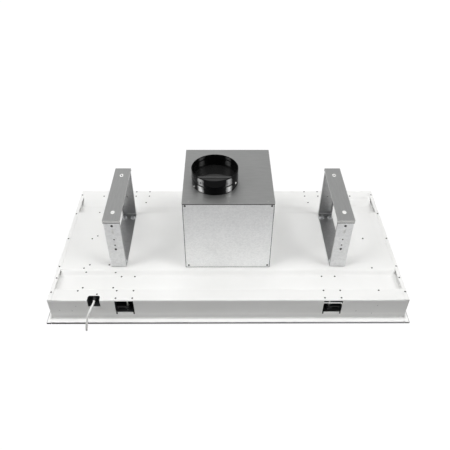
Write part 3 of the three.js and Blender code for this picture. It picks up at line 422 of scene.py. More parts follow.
OWN_LOOKS = {                    # of CAD nodes that look different from the rest of their slot
    "main_cover": "casing_paint_shaded", "end_cap": "casing_paint_shaded", "box_top_plate": "lid_steel",
    "damper_spindle": "collar_black", "service_panel": "panel_steel", "bracket_base": "bracket_steel",
    "bracket_slider": "bracket_steel", "bracket_cap": "cap_steel",
}


def dress_nodes():
    for part in frame["record"]["subparts"]:
        name = part["node"].removesuffix("_left").removesuffix("_right")
        look = OWN_LOOKS.get(name, part["material_slot"])
        materials = nodes[part["node"]].data.materials
        materials.clear()
        materials.append(looks[look])


# ------------------------------------------------------------------ mesh helpers
FORWARD, BACKWARD, RIGHTWARD, UP = (0, -1, 0), (0, 1, 0), (1, 0, 0), (0, 0, 1)


def add_piece(name, mesh, look, body=ROOT):
    mesh.materials.append(looks[look])
    piece = bpy.data.objects.new(name, mesh)
    bpy.context.collection.objects.link(piece)
    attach(piece, body)
    return piece


def finish_mesh(bm, name, sharp=34.0):
    """Smooth shading with sharp edges where faces meet at more than that many degrees."""
    bmesh.ops.remove_doubles(bm, verts=bm.verts, dist=1e-7)
    bmesh.ops.recalc_face_normals(bm, faces=bm.faces)
    for face in bm.faces:
        face.smooth = True
    for edge in bm.edges:
        if len(edge.link_faces) == 2 and edge.calc_face_angle() > math.radians(sharp):
            edge.smooth = False
    mesh = bpy.data.meshes.new(name)
    bm.to_mesh(mesh)
    bm.free()
    return mesh


def skin(bm, rings, around=True):
    """Faces between each ring of corners and the next; around also closes the rings themselves."""
    for low, high in zip(rings, rings[1:]):
        for k in range(len(low) if around else len(low) - 1):
            m = (k + 1) % len(low)
            bm.faces.new((low[k], low[m], high[m], high[k]))


def oval(bm, middle, radii, level, segments):
    """A level ring of corners."""
    ring = []
    for i in range(segments):
        turn = 2 * math.pi * i / segments
        ring.append(bm.verts.new((middle[0] + radii[0] * math.cos(turn),
                                  middle[1] + radii[1] * math.sin(turn), level)))
    return ring


def lathe_into(bm, profile, segments, matrix=Matrix.Identity(4)):
    """Turns (radius, height) points about Z; radius 0 closes to a point."""
    rings = []
    for radius, height in profile:
        if radius == 0:
            ring = [bm.verts.new((0, 0, height))]
        else:
            ring = oval(bm, (0, 0), (radius, radius), height, segments)
        for corner in ring:
            corner.co = matrix @ corner.co
        rings.append(ring)
    for low, high in zip(rings, rings[1:]):
        for i in range(segments):
            j = (i + 1) % segments
            corners = [low[i % len(low)], low[j % len(low)], high[j % len(high)], high[i % len(high)]]
            unique = list(dict.fromkeys(corners))
            if len(unique) > 2:
                bm.faces.new(unique)


def box_into(bm, low, high):
    """A box with slightly rounded edges."""
    corners = [bm.verts.new((x, y, z)) for x in (low[0], high[0]) for y in (low[1], high[1])
               for z in (low[2], high[2])]
    made = []
    for around in ((0, 1, 3, 2), (4, 6, 7, 5), (0, 4, 5, 1), (2, 3, 7, 6), (0, 2, 6, 4), (1, 5, 7, 3)):
        made.append(bm.faces.new([corners[i] for i in around]))
    edges = {edge for face in made for edge in face.edges}
    size = min(high[i] - low[i] for i in range(3))
    bmesh.ops.bevel(bm, geom=list(edges), offset=0.2 * size, segments=2, affect="EDGES")


def strips(name, boxes, look, body=ROOT):
    bm = bmesh.new()
    for low, high in boxes:
        box_into(bm, low, high)
    return add_piece(name, finish_mesh(bm, name), look, body)


def facing(normal):
    return Vector(UP).rotation_difference(Vector(normal)).to_matrix().to_4x4()


def seats(meshes, spots, along):
    """The points where lines along a direction first meet one of the meshes."""
    trees = []
    for mesh in meshes:
        trees.append(BVHTree.FromPolygons([v.co for v in mesh.vertices],
                                          [list(face.vertices) for face in mesh.polygons]))
    direction = Vector(along)
    found = []
    for spot in spots:
        hits = [tree.ray_cast(Vector(spot), direction) for tree in trees]
        hits = [hit for hit in hits if hit[0] is not None]
        found.append(min(hits, key=lambda hit: hit[3])[0])
    return found


def heads(name, spots, normal, size, look, recess=True):
    """Domed heads of a (radius, rise) in one piece, each with the dimple of its recess."""
    radius, rise = size
    dimple = [(0, 0.4 * rise), (0.26 * radius, 0.45 * rise), (0.38 * radius, 0.97 * rise)]
    dome = [(0.62 * radius, 0.93 * rise), (0.86 * radius, 0.66 * rise), (radius, 0.18 * rise),
            (radius, -0.0001)]
    profile = (dimple if recess else [(0, rise)]) + dome
    bm = bmesh.new()
    for spot in spots:
        lathe_into(bm, profile, 16, Matrix.Translation(spot) @ facing(normal))
    return add_piece(name, finish_mesh(bm, name, 50.0), look)


def hex_bolts(name, spots, normal, size, look):
    """Flanged hexagon heads of a (radius, rise)."""
    radius, rise = size
    bm = bmesh.new()
    for spot in spots:
        place = Matrix.Translation(spot) @ facing(normal)
        lathe_into(bm, [(0, 0.3 * rise), (1.2 * radius, 0.3 * rise), (1.35 * radius, 0)], 20, place)
        lathe_into(bm, [(0, rise), (0.9 * radius, rise), (radius, 0.85 * rise), (radius, 0)], 6, place)
    return add_piece(name, finish_mesh(bm, name, 25.0), look)


# ------------------------------------------------------------------ mains lead
CORD_DIAMETER = 0.007
CORD_EXIT = (-0.437, -0.2804, 0.093)
CORD_ROUTE = [
    (-0.4375, -0.2900, 0.0930), (-0.4405, -0.3016, 0.0915), (-0.4450, -0.3125, 0.0870),
    (-0.4490, -0.3218, 0.0798), (-0.4523, -0.3290, 0.0705), (-0.4547, -0.3340, 0.0605),
    (-0.4569, -0.3380, 0.0505), (-0.4586, -0.3410, 0.0410), (-0.4602, -0.3420, 0.0316),
    (-0.4624, -0.3394, 0.0198), (-0.4646, -0.3338, 0.0118), (-0.4670, -0.3258, 0.0062),
    (-0.4695, -0.3140, 0.0036), (-0.4715, -0.3030, 0.0036), (-0.4755, -0.2925, 0.0036),
    (-0.4825, -0.2835, 0.0036), (-0.4920, -0.2770, 0.0036), (-0.5035, -0.2735, 0.0036),
    (-0.5160, -0.2715, 0.0036), (-0.5280, -0.2685, 0.0036), (-0.5395, -0.2630, 0.0036),
    (-0.5495, -0.2545, 0.0036), (-0.5575, -0.2435, 0.0036), (-0.5635, -0.2300, 0.0036),
    (-0.5670, -0.2100, 0.0036), (-0.5690, -0.1800, 0.0036), (-0.5700, -0.1200, 0.0036),
    (-0.5705, -0.0400, 0.0036), (-0.5700, 0.0400, 0.0036), (-0.5710, 0.1200, 0.0036),
    (-0.5700, 0.2000, 0.0036), (-0.5685, 0.2600, 0.0036), (-0.5660, 0.3000, 0.0036),
    (-0.5640, 0.3300, 0.0036), (-0.5633, 0.3447, 0.0036),
]
COIL_TURNS = 2.5
COIL_CENTRE = (-0.520, 0.359)
COIL_INNER = 0.0348
COIL_PITCH = 0.0085
COIL_LEVEL = 0.0036
COIL_STEPS = 24                  # points a turn
TAIL_BEND = 0.028
TAIL_STEPS = 6
TAIL_END = 0.002                 # straight run into the plug, past one diameter
PLUG_LEVEL = 0.0186


def coil_points():
    """Two layers: in, up in the half turn where the spiral reverses, and out again."""
    one_way = (COIL_TURNS - 0.5) / 2
    outer = COIL_INNER + COIL_PITCH
    points = [(COIL_CENTRE[0] - outer, COIL_CENTRE[1] - CORD_DIAMETER, COIL_LEVEL)]
    for i in range(int(COIL_TURNS * COIL_STEPS) + 1):
        turn = i / COIL_STEPS
        climb = min(max((turn - one_way) / 0.5, 0), 1)
        inward = min(turn, one_way) - max(turn - one_way - 0.5, 0)
        radius = outer - COIL_PITCH * inward / one_way
        angle = math.pi - 2 * math.pi * turn
        points.append((COIL_CENTRE[0] + radius * math.cos(angle),
                       COIL_CENTRE[1] + radius * math.sin(angle),
                       COIL_LEVEL + COIL_PITCH * climb))
    return points


def coil_tail(start):
    """A quarter turn outward that climbs to the plug's level."""
    points = []
    for i in range(1, TAIL_STEPS + 1):
        step = i / TAIL_STEPS
        angle = math.pi + math.pi / 2 * step
        rise = step * step * (3 - 2 * step)
        points.append((start[0] + TAIL_BEND + TAIL_BEND * math.cos(angle),
                       start[1] + TAIL_BEND * math.sin(angle),
                       start[2] + (PLUG_LEVEL - start[2]) * rise))
    last = points[-1]
    points.append((last[0] + CORD_DIAMETER + TAIL_END, last[1], last[2]))
    return points


def smooth_line(points, per_span=5):
    """Centripetal Catmull-Rom curve through the points."""
    spots = [Vector(p) for p in points]
    spots = [2 * spots[0] - spots[1], *spots, 2 * spots[-1] - spots[-2]]
    line = []
    for p0, p1, p2, p3 in zip(spots, spots[1:], spots[2:], spots[3:]):
        t1 = (p1 - p0).length ** 0.5
        t2 = t1 + (p2 - p1).length ** 0.5
        t3 = t2 + (p3 - p2).length ** 0.5
        for k in range(per_span):
            t = t1 + (t2 - t1) * k / per_span
            a1 = p0.lerp(p1, t / t1)
            a2 = p1.lerp(p2, (t - t1) / (t2 - t1))
            a3 = p2.lerp(p3, (t - t2) / (t3 - t2))
            b1 = a1.lerp(a2, t / t2)
            b2 = a2.lerp(a3, (t - t1) / (t3 - t1))
            line.append(b1.lerp(b2, (t - t1) / (t2 - t1)))
    line.append(spots[-2])
    return line


def make_cord():
    coil = coil_points()
    route = smooth_line([CORD_EXIT, *CORD_ROUTE, *coil, *coil_tail(coil[-1])])
    curve = bpy.data.curves.new("lead", "CURVE")
    curve.dimensions = "3D"
    curve.bevel_depth = CORD_DIAMETER / 2
    curve.bevel_resolution = 5
    curve.use_fill_caps = True
    spline = curve.splines.new("POLY")
    spline.points.add(len(route) - 1)
    for point, spot in zip(spline.points, route):
        point.co = (spot.x, spot.y, max(spot.z, COIL_LEVEL), 1.0)
    curve.materials.append(looks["cable_white"])
    lead = bpy.data.objects.new("lead", curve)
    bpy.context.collection.objects.link(lead)
    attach(lead, ROOT)
    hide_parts("mains_cord", "cord_coil")


# ------------------------------------------------------------------ duct collar
COLLAR_SEGMENTS = 160
COLLAR_BORE = 0.0726             # radii
COLLAR_LEDGE = 0.0666
COLLAR_SPIGOT = 0.069
FLAP_SEAT = 0.0129               # above the lid
COLLAR_ROUNDING = 0.0007


def make_collar():
    """The two rings again, turned finely enough for their gloss."""
    low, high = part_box("duct_collar_base")
    ring_low, ring_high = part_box("duct_collar_ring")
    centre = Matrix.Translation(((low.x + high.x) / 2, (low.y + high.y) / 2, 0))
    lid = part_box("box_top_plate")[1].z
    outer, ring_outer = (high.x - low.x) / 2, (ring_high.x - ring_low.x) / 2
    base = [
        (COLLAR_LEDGE, low.z), (COLLAR_SPIGOT, low.z), (COLLAR_SPIGOT, lid + 0.0003),
        (outer, lid + 0.0003), (outer, high.z - COLLAR_ROUNDING), (outer - COLLAR_ROUNDING, high.z),
        (COLLAR_BORE, high.z), (COLLAR_BORE, lid + FLAP_SEAT), (COLLAR_LEDGE, lid + FLAP_SEAT),
        (COLLAR_LEDGE, low.z),
    ]
    ring = [
        (COLLAR_BORE, ring_low.z), (ring_outer - COLLAR_ROUNDING, ring_low.z),
        (ring_outer, ring_low.z + COLLAR_ROUNDING), (ring_outer, ring_high.z - 0.0006),
        (ring_outer - 0.0002, ring_high.z - 0.0002), (ring_outer - COLLAR_ROUNDING, ring_high.z),
        (COLLAR_BORE + 0.0006, ring_high.z), (COLLAR_BORE + 0.0001, ring_high.z - 0.0002),
        (COLLAR_BORE, ring_high.z - 0.0006), (COLLAR_BORE, ring_low.z),
    ]
    for node, profile in (("duct_collar_base", base), ("duct_collar_ring", ring)):
        name = node.removeprefix("duct_")
        bm = bmesh.new()
        lathe_into(bm, profile, COLLAR_SEGMENTS, centre)
        piece = add_piece(name, finish_mesh(bm, name), "collar_black")
        piece.data.materials.append(looks["bore_black"])
        for face in piece.data.polygons:
            away = face.center - centre.translation
            if math.hypot(away.x, away.y) < COLLAR_BORE + 0.0002:
                face.material_index = 1
        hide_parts(node)


COLLAR_RIVETS = [(-61, 0.006), (61, 0.0195)]    # degrees from the front, above the lid
COLLAR_RIVET_HEAD = (0.003, 0.0018)      # radius, rise; so in all heads below
COLLAR_SCREW = (-36, 0.0165)     # degrees, below the ring's top
COLLAR_SCREW_HEAD = (0.0026, 0.001)


def on_collar(degrees, radius, level):
    """A spot so many degrees from the collar's front, and the direction that it faces."""
    angle = math.radians(degrees)
    outward = Vector((math.sin(angle), -math.cos(angle), 0))
    return Vector((*COLLAR_AXIS, level)) + radius * outward, outward


def make_collar_fasteners():
    low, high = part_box("duct_collar_base")
    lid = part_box("box_top_plate")[1].z
    for i, (degrees, rise) in enumerate(COLLAR_RIVETS):
        spot, outward = on_collar(degrees, (high.x - low.x) / 2, lid + rise)
        heads(f"collar_rivet_{i + 1}", [spot], outward, COLLAR_RIVET_HEAD, "bright_edge", recess=False)
    low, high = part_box("duct_collar_ring")
    spot, outward = on_collar(COLLAR_SCREW[0], (high.x - low.x) / 2, high.z - COLLAR_SCREW[1])
    heads("collar_screw", [spot], outward, COLLAR_SCREW_HEAD, "screw_steel")


# ------------------------------------------------------------------ casing
CASING = [nodes[name].data for name in ("main_cover", "end_cap_left", "end_cap_right")]
ABOVE = 0.3                      # height from which a spot on the casing is looked down on
BEFORE = -0.4                    # y from which a spot on the front wall is looked at
CASING_SCREWS = [                # x, y; each also mirrored to the left
    (0.579, -0.255), (0.579, -0.138), (0.579, 0.003), (0.579, 0.144), (0.579, 0.261),
    (0.576, -0.192), (0.318, -0.173), (0.363, -0.173), (0.321, 0.222), (0.494, -0.145),
    (0.494, -0.248), (0.493, 0.004), (0.492, 0.255), (0.365, 0.284), (0.312, 0.284),
    (0.364, 0.255), (0.311, 0.255), (0.312, -0.248), (0.367, -0.248), (0.312, -0.280),
    (0.366, -0.280),
]
LEFT_SCREWS = [
    (-0.484, -0.160), (-0.477, -0.129), (-0.485, -0.223), (-0.429, -0.263), (-0.476, 0.019),
    (-0.492, 0.153), (-0.410, -0.129), (-0.384, -0.161), (-0.384, -0.223),
]
CASING_SCREW_HEAD = (0.003, 0.001)
WALL_RIVETS = [                  # x, level
    (-0.497, 0.078), (-0.553, 0.058), (-0.513, 0.055), (0.486, 0.08), (0.474, 0.04), (0.42, 0.052),
]
WALL_RIVET_HEAD = (0.0013, 0.0003)


def make_casing_screws(slopes):
    spots = [(side * x, y, ABOVE) for x, y in CASING_SCREWS for side in (-1, 1)]
    spots += [(x, y, ABOVE) for x, y in LEFT_SCREWS]
    seated = seats([*CASING, slopes.data], spots, (0, 0, -1))
    heads("casing_screws", seated, UP, CASING_SCREW_HEAD, "screw_steel")


def make_wall_rivets():
    spots = seats(CASING, [(x, BEFORE, z) for x, z in WALL_RIVETS], BACKWARD)
    heads("wall_rivets", spots, FORWARD, WALL_RIVET_HEAD, "grey_plastic", recess=False)


SLOPE_END = 0.569
SLOPE_STEPS = 8
SLOPES = [                       # top and foot of each slope: y, then the casing's level there
    ((-0.1520, 0.1061), (-0.1740, 0.0931)),
    ((0.2425, 0.1061), (0.2000, 0.0931)),
]
CAP_SLOPE = [(0.5717, 0.1073), (0.5450, 0.1061), (0.5717, 0.1061)]    # x, level
CAP_SLOPE_SPANS = [(-0.2885, -0.2420), (-0.1520, 0.1520), (0.2425, 0.2885)]


def trough_slope_into(bm, top, foot):
    """A soft slope from the plateau's level down to the trough's, along the whole casing."""
    rows = []
    for i in range(SLOPE_STEPS + 1):
        share = i / SLOPE_STEPS
        level = top[1] + (foot[1] - top[1]) * share * share * (3 - 2 * share)
        y = top[0] + (foot[0] - top[0]) * share
        rows.append([bm.verts.new((x, y, level)) for x in (-SLOPE_END, SLOPE_END)])
    skin(bm, rows, around=False)
    under = [bm.verts.new((x, top[0], foot[1])) for x in (-SLOPE_END, SLOPE_END)]
    for end in (0, 1):
        bm.faces.new([row[end] for row in rows] + [under[end]])
    for row in (rows[0], rows[-1]):
        bm.faces.new((row[0], row[1], under[1], under[0]))


def cap_slope_into(bm, side, span):
    """A low wedge along the inner rim of an end cap."""
    ends = []
    for y in span:
        ends.append([bm.verts.new((side * x, y, z)) for x, z in CAP_SLOPE])
        bm.faces.new(ends[-1])
    skin(bm, ends)


def make_trough_slopes():
    bm = bmesh.new()
    for top, foot in SLOPES:
        trough_slope_into(bm, top, foot)
    for side in (-1, 1):
        for span in CAP_SLOPE_SPANS:
            cap_slope_into(bm, side, span)
    return add_piece("trough_slopes", finish_mesh(bm, "trough_slopes", 40.0), "white_paint")


WINDOW_X = (0.309, 0.370)        # the front clamp windows, on both sides
WALL_Y = -0.290
SLIT_WIDTH = 0.0046
SLIT_LEVELS = (0.0385, 0.0478)
LIP_PATH = [                     # x, level
    (0.3085, 0.0930), (0.3620, 0.0930), (0.3666, 0.0915), (0.3690, 0.0880), (0.3703, 0.0835),
]
LIP_THICK = 0.0026
LIP_SECTION = [(1, 0.0006), (1, 0.0010), (-1, 0.0010), (-1, -0.0014)]    # side, depth behind the wall


def make_slit_shade():
    """Dark strips of painted shade down the slits beside each window."""
    boxes = []
    for side in (-1, 1):
        for x in (WINDOW_X[0], WINDOW_X[1] - SLIT_WIDTH):
            left, right = sorted((side * x, side * (x + SLIT_WIDTH)))
            boxes.append(((left, WALL_Y - 0.0003, SLIT_LEVELS[0]),
                          (right, WALL_Y + 0.0002, SLIT_LEVELS[1])))
    strips("window_slit_shade", boxes, "dark_plastic")


def make_window_lip():
    """The folded lip across the right window."""
    bm = bmesh.new()
    rings = []
    for i, (x, z) in enumerate(LIP_PATH):
        before, after = LIP_PATH[max(i - 1, 0)], LIP_PATH[min(i + 1, len(LIP_PATH) - 1)]
        along = Vector((after[0] - before[0], after[1] - before[1])).normalized() * LIP_THICK / 2
        rings.append([bm.verts.new((x - side * along.y, WALL_Y + depth, z + side * along.x))
                      for side, depth in LIP_SECTION])
    skin(bm, rings)
    for end in (rings[0], rings[-1]):
        bm.faces.new(end)
    add_piece("window_lip", finish_mesh(bm, "window_lip"), "white_paint")


# ------------------------------------------------------------------ motor box
PANEL_SCREWS = [(-0.1374, 0.376), (0.1339, 0.376), (-0.135, 0.116), (0.1332, 0.116)]    # x, level
PANEL_SCREW_HEAD = (0.0036, 0.0012)
BOX_SIDE_Y = -0.130
BOX_SIDE_LEVELS = (0.367, 0.257, 0.1465)
BOX_SCREW_HEAD = (0.0029, 0.0014)
LID_RIVETS = [(-0.1255, -0.1294), (-0.0014, -0.1295), (0.123, -0.1295), (0.1387, -0.1156)]
LID_RIVET_HEAD = (0.0021, 0.0007)


def make_box_screws():
    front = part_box("service_panel")[0].y
    on_panel = [(x, front, z) for x, z in PANEL_SCREWS]
    heads("panel_screws", on_panel, FORWARD, PANEL_SCREW_HEAD, "screw_steel")
    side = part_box("motor_box")[1].x
    beside = [(side, BOX_SIDE_Y, z) for z in BOX_SIDE_LEVELS]
    heads("box_side_screws", beside, RIGHTWARD, BOX_SCREW_HEAD, "zinc_steel")
    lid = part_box("box_top_plate")[1].z
    on_lid = [(x, y, lid) for x, y in LID_RIVETS]
    heads("lid_rivets", on_lid, UP, LID_RIVET_HEAD, "zinc_steel", recess=False)


SHADE_STRIP_OUT = 0.0014                # how far the dark strips of painted shade show beyond the service panel
SHADE_STRIP_IN = 0.0008                 # and how far it wraps its edge
SHADE_STRIP_BELOW_LID = 0.0036


# Dark strips of painted shade along the service panel's sides and foot and under the lid's front edge.
def make_panel_edge_shade():
    low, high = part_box("service_panel")
    lid_low, lid_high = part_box("box_top_plate")
    front, back = low.y - 0.0003, high.y
    base = low.z - 0.001
    boxes = [
        ((low.x - SHADE_STRIP_OUT, front, base), (low.x + SHADE_STRIP_IN / 2, back, high.z)),
        ((high.x - SHADE_STRIP_IN / 2, front, base), (high.x + SHADE_STRIP_OUT, back, high.z)),
        ((low.x, front, base), (high.x, back, low.z + SHADE_STRIP_IN)),
        ((lid_low.x + 0.001, lid_low.y + 0.0001, lid_low.z - SHADE_STRIP_BELOW_LID),
         (lid_high.x - 0.001, back, lid_low.z - 0.0001)),
    ]
    strips("panel_shade_strips", boxes, "dark_plastic")


# ------------------------------------------------------------------ coil tie
TIE_WIDTH = 0.0045
TIE_THICK = 0.0007
TIE_REACH = 0.0038               # to either side of the turns' middle
TIE_LEVELS = (0.0004, 2 * COIL_PITCH - 0.0014)
TIE_CORNER = 0.0032
TIE_SECTION = [(0, -1), (1, -1), (1, 1), (0, 1)]    # out, side
TIE_HEAD = (0.0035, 0.003, 0.0045)       # half width, half length, height
TIE_END_LENGTH = 0.0125
TIE_END_RISE = (0.0015, 0.0024)


def rounded_loop(half_wide, low, high, corner, per_corner=4):
    """Round an upright rectangle with rounded corners: across, level, and the angle outward."""
    loop = []
    for quarter, (side, above) in enumerate(((1, True), (-1, True), (-1, False), (1, False))):
        across = side * (half_wide - corner)
        level = high - corner if above else low + corner
        for k in range(per_corner + 1):
            angle = math.pi / 2 * (quarter + k / per_corner)
            loop.append((across + corner * math.cos(angle), level + corner * math.sin(angle), angle))
    return loop


def make_coil_tie():
    """A cable tie drawn round the turns on the coil's near side, its head on top."""
    x = COIL_CENTRE[0]
    y = COIL_CENTRE[1] - COIL_INNER - 0.25 * COIL_PITCH
    top = TIE_LEVELS[1]
    bm = bmesh.new()
    rings = []
    for across, level, angle in rounded_loop(TIE_REACH, *TIE_LEVELS, TIE_CORNER):
        ring = []
        for out, side in TIE_SECTION:
            reach = across + out * TIE_THICK * math.cos(angle)
            height = max(level + out * TIE_THICK * math.sin(angle), 0.0001)
            ring.append(bm.verts.new((x + side * TIE_WIDTH / 2, y - reach, height)))
        rings.append(ring)
    skin(bm, rings + rings[:1])
    half_wide, half_long, tall = TIE_HEAD
    box_into(bm, (x - half_wide, y - half_long, top), (x + half_wide, y + half_long, top + tall))
    box_into(bm, (x - TIE_WIDTH / 2, y - TIE_END_LENGTH, top + TIE_END_RISE[0]),
             (x + TIE_WIDTH / 2, y - half_long, top + TIE_END_RISE[1]))
    add_piece("coil_tie", finish_mesh(bm, "coil_tie"), "cable_white")


# ------------------------------------------------------------------ ceiling brackets
LEG_SCREWS = (0.190, 0.292)      # levels on a bracket's legs
LEG_SCREW_HEAD = (0.0042, 0.002)
LEG_HOLES = (0.208, 0.233)
LEG_HOLE_SHADE_DISC = (0.0027, 0.0002)
LEG_SLOT = (0.263, 0.268, 0.273)         # bright discs in a row that make a light slot
LEG_SLOT_DISC = (0.0032, 0.0004)
BASE_BOLTS = [(-0.0155, 0.1205), (0.0155, 0.1205), (-0.0155, -0.1135), (0.0155, -0.1135)]
BASE_BOLT_HEAD = (0.0075, 0.007)
BASE_SHEET = 0.0015
LIP_SHADOW = (0.0014, 0.0026)     # painted shadow strip: its depth along y, and how far it hangs below a lip
LIP_HIGHLIGHT_OUT = 0.0003          # how far the painted highlight strip stands before the cap's lip
LIP_HIGHLIGHT_BELOW_TOP = 0.0012
CAP_HOLES = (0.105, -0.099)      # y of the ceiling holes
HOLE_GLINT_SEGMENTS = 24
HOLE_GLINT_INNER = (0.0033, 0.0033)   # radii of a bright rim round a ceiling hole, a painted stand-in for light seen through it, along x and y
HOLE_GLINT_RIM = (0.0065, 0.0083)
HOLE_GLINT_FLARE = 1.04              # from its upper to its lower rim
HOLE_GLINT_LEVELS = (0.0003, -0.0001)        # of these two, from the cap's top


def make_bracket_fasteners(name):
    low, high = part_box(f"bracket_base_{name}")
    middle = (low.x + high.x) / 2
    for face, y, normal in (("front", low.y, FORWARD), ("back", high.y, BACKWARD)):
        spots = [(middle, y, z) for z in LEG_SCREWS]
        heads(f"bracket_screws_{face}_{name}", spots, normal, LEG_SCREW_HEAD, "screw_steel")
        # dark discs over the legs' holes: painted shade inside them
        holes = [(middle, y, z) for z in LEG_HOLES]
        heads(f"bracket_hole_shade_{face}_{name}", holes, normal, LEG_HOLE_SHADE_DISC, "dark_plastic",
              recess=False)
    slot = [(middle, low.y, z) for z in LEG_SLOT]
    heads(f"bracket_slot_{name}", slot, FORWARD, LEG_SLOT_DISC, "bright_edge", recess=False)
    bolts = [(middle + x, y, low.z + BASE_SHEET) for x, y in BASE_BOLTS]
    hex_bolts(f"bracket_bolts_{name}", bolts, UP, BASE_BOLT_HEAD, "aluminium")


def make_bracket_lips(name):
    """A dark strip of painted shadow under both lips of the cap, and a bright strip of painted
    highlight along the front lip.
    """
    low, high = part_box(f"bracket_cap_{name}")
    body = f"bracket_top_{name}"
    depth, drop = LIP_SHADOW
    dark = []
    for y in (low.y, high.y - depth):
        dark.append(((low.x, y, low.z - drop), (high.x, y + depth, low.z + 0.0002)))
    strips(f"bracket_lip_shadows_{name}", dark, "dark_plastic", body)
    bright = [((low.x + 0.0002, low.y - LIP_HIGHLIGHT_OUT, low.z + 0.0004),
               (high.x - 0.0002, low.y + LIP_HIGHLIGHT_OUT, high.z - LIP_HIGHLIGHT_BELOW_TOP))]
    strips(f"bracket_lip_highlight_{name}", bright, "bright_edge", body)


# Bright rims round the caps' ceiling holes: painted light seen through them.
def make_bracket_hole_glints(name):
    base_low, base_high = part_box(f"bracket_base_{name}")
    middle = (base_low.x + base_high.x) / 2
    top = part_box(f"bracket_cap_{name}")[1].z
    foot = [HOLE_GLINT_FLARE * radius for radius in HOLE_GLINT_RIM]
    bm = bmesh.new()
    for y in CAP_HOLES:
        rings = []
        for radii, rise in zip((HOLE_GLINT_INNER, HOLE_GLINT_RIM, foot), (HOLE_GLINT_LEVELS[0], *HOLE_GLINT_LEVELS)):
            rings.append(oval(bm, (middle, y), radii, top + rise, HOLE_GLINT_SEGMENTS))
        skin(bm, rings)
    piece = f"bracket_hole_glints_{name}"
    add_piece(piece, finish_mesh(bm, piece), "bright_edge", f"bracket_top_{name}")


# ------------------------------------------------------------------ stage
FLOOR_LEVEL = -0.0004            # a hair under the part's foot
FLOOR_SIZE = 60.0
FLOOR_COLOR = grey(0.24)
FLOOR_ROUGHNESS = 0.9
FLOOR_GLOW = 1.2
FLOOR_SEEN_WHITE = 0.82          # share of that glow in the floor that the camera sees
FLOOR_GLOSS_WHITE = 0.55         # and that metal shows
WHITE = (1.0, 1.0, 1.0, 1.0)
SOFT = "SMOOTHSTEP"
HORIZON_EDGE = (0.12, 0.3)       # heights in the sky where the white horizon fades
HORIZON_SPAN = (-0.8, 0.2)       # y from the front to the back
HORIZON_GLOW = (0.1, 0.9)        # radiances of the studio at these two
SKY_SPAN = (-0.5, 0.5)
SKY_GLOW = (0.06, 0.36)          # from the front to the back
SKY_LEFT_TO_RIGHT = (1.12, 0.82)
OVERHEAD_EDGE = (0.78, 0.93)
OVERHEAD_GLOW = 1.35
SOFTBOX_GLOW = 6.2
SOFTBOX_TOWARDS = (0.68, -0.25, 0.69)    # and mirrored to the left
SOFTBOX_EDGE = (0.962, 0.978)    # cosines from its middle: outside and inside its soft edge


def mix_shaders(wiring, share, first, second):
    node = wiring.add("ShaderNodeMixShader")
    wiring.plug(share, node.inputs["Fac"])
    wiring.plug(first, node.inputs[1])
    wiring.plug(second, node.inputs[2])
    return node.outputs["Shader"]


def floor_material():
    """Grey for light, white for the camera and for gloss, and clear from below."""
    material = bpy.data.materials.new("floor")
    material.use_nodes = True
    wiring = Wiring(material.node_tree)
    shader = material.node_tree.nodes["Principled BSDF"]
    shader.inputs["Base Color"].default_value = (*FLOOR_COLOR, 1.0)
    shader.inputs["Roughness"].default_value = FLOOR_ROUGHNESS
    ray = wiring.add("ShaderNodeLightPath").outputs
    mirrored = wiring.math("MAXIMUM", ray["Is Glossy Ray"], ray["Is Transmission Ray"])
    share = wiring.math("MAXIMUM", wiring.math("MULTIPLY", ray["Is Camera Ray"], FLOOR_SEEN_WHITE),
                        wiring.math("MULTIPLY", mirrored, FLOOR_GLOSS_WHITE))
    white = wiring.add("ShaderNodeEmission")
    white.inputs["Strength"].default_value = FLOOR_GLOW
    above = mix_shaders(wiring, share, shader.outputs["BSDF"], white.outputs["Emission"])
    from_below = wiring.add("ShaderNodeNewGeometry").outputs["Backfacing"]
    clear = wiring.add("ShaderNodeBsdfTransparent").outputs["BSDF"]
    surface = mix_shaders(wiring, from_below, above, clear)
    wiring.plug(surface, material.node_tree.nodes["Material Output"].inputs["Surface"])
    return material


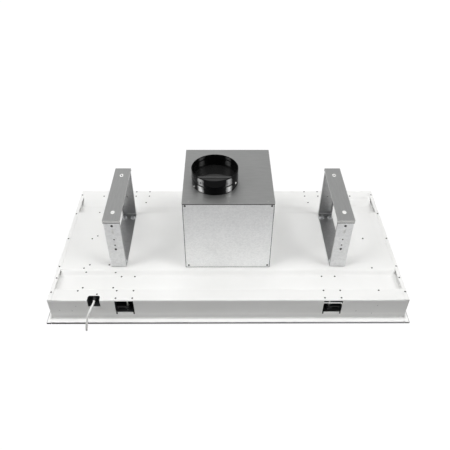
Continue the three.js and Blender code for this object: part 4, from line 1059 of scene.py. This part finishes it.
def make_stage():
    bpy.ops.mesh.primitive_plane_add(size=FLOOR_SIZE, location=(0, 0, FLOOR_LEVEL))
    floor = bpy.context.object
    floor.name = "floor"
    floor.data.materials.append(floor_material())


def make_world():
    """A white horizon, a dim front, a grey back, a softbox overhead and one at each side."""
    world = bpy.data.worlds.new("studio")
    bpy.context.scene.world = world
    world.use_nodes = True
    wiring = Wiring(world.node_tree)
    x, y, z = wiring.split(wiring.add("ShaderNodeTexCoord").outputs["Generated"])
    glow = wiring.ramp(y, HORIZON_SPAN, HORIZON_GLOW, SOFT)
    horizon = wiring.ramp(z, HORIZON_EDGE, (glow, 0.0), SOFT)
    sky = wiring.math("MULTIPLY", wiring.ramp(y, SKY_SPAN, SKY_GLOW, SOFT),
                      wiring.ramp(x, SKY_SPAN, SKY_LEFT_TO_RIGHT, SOFT))
    overhead = wiring.ramp(z, OVERHEAD_EDGE, (0.0, OVERHEAD_GLOW), SOFT)
    beside = wiring.add("ShaderNodeCombineXYZ")
    for socket, value in zip(beside.inputs, (wiring.math("ABSOLUTE", x), y, z)):
        wiring.plug(value, socket)
    middle = Vector(SOFTBOX_TOWARDS).normalized()
    toward = wiring.vector_math("DOT_PRODUCT", beside.outputs["Vector"], middle, "Value")
    softboxes = wiring.ramp(toward, SOFTBOX_EDGE, (0.0, SOFTBOX_GLOW), SOFT)
    seen = wiring.add("ShaderNodeMix")
    wiring.plug(wiring.add("ShaderNodeLightPath").outputs["Is Camera Ray"], seen.inputs["Factor"])
    wiring.plug(wiring.total(horizon, sky, overhead, softboxes), seen.inputs["A"])
    wiring.plug(1.0, seen.inputs["B"])
    background = world.node_tree.nodes["Background"]
    wiring.plug(seen.outputs["Result"], background.inputs["Strength"])
    wiring.plug(WHITE, background.inputs["Color"])


make_camera()
make_cord()
dress_nodes()
make_collar()
make_casing_screws(make_trough_slopes())
make_wall_rivets()
make_box_screws()
make_collar_fasteners()
make_panel_edge_shade()
make_slit_shade()
make_window_lip()
make_coil_tie()
for name in ("left", "right"):
    make_bracket_fasteners(name)
    make_bracket_lips(name)
    make_bracket_hole_glints(name)
make_stage()
make_world()
bpy.context.scene.view_settings.view_transform = "Standard"
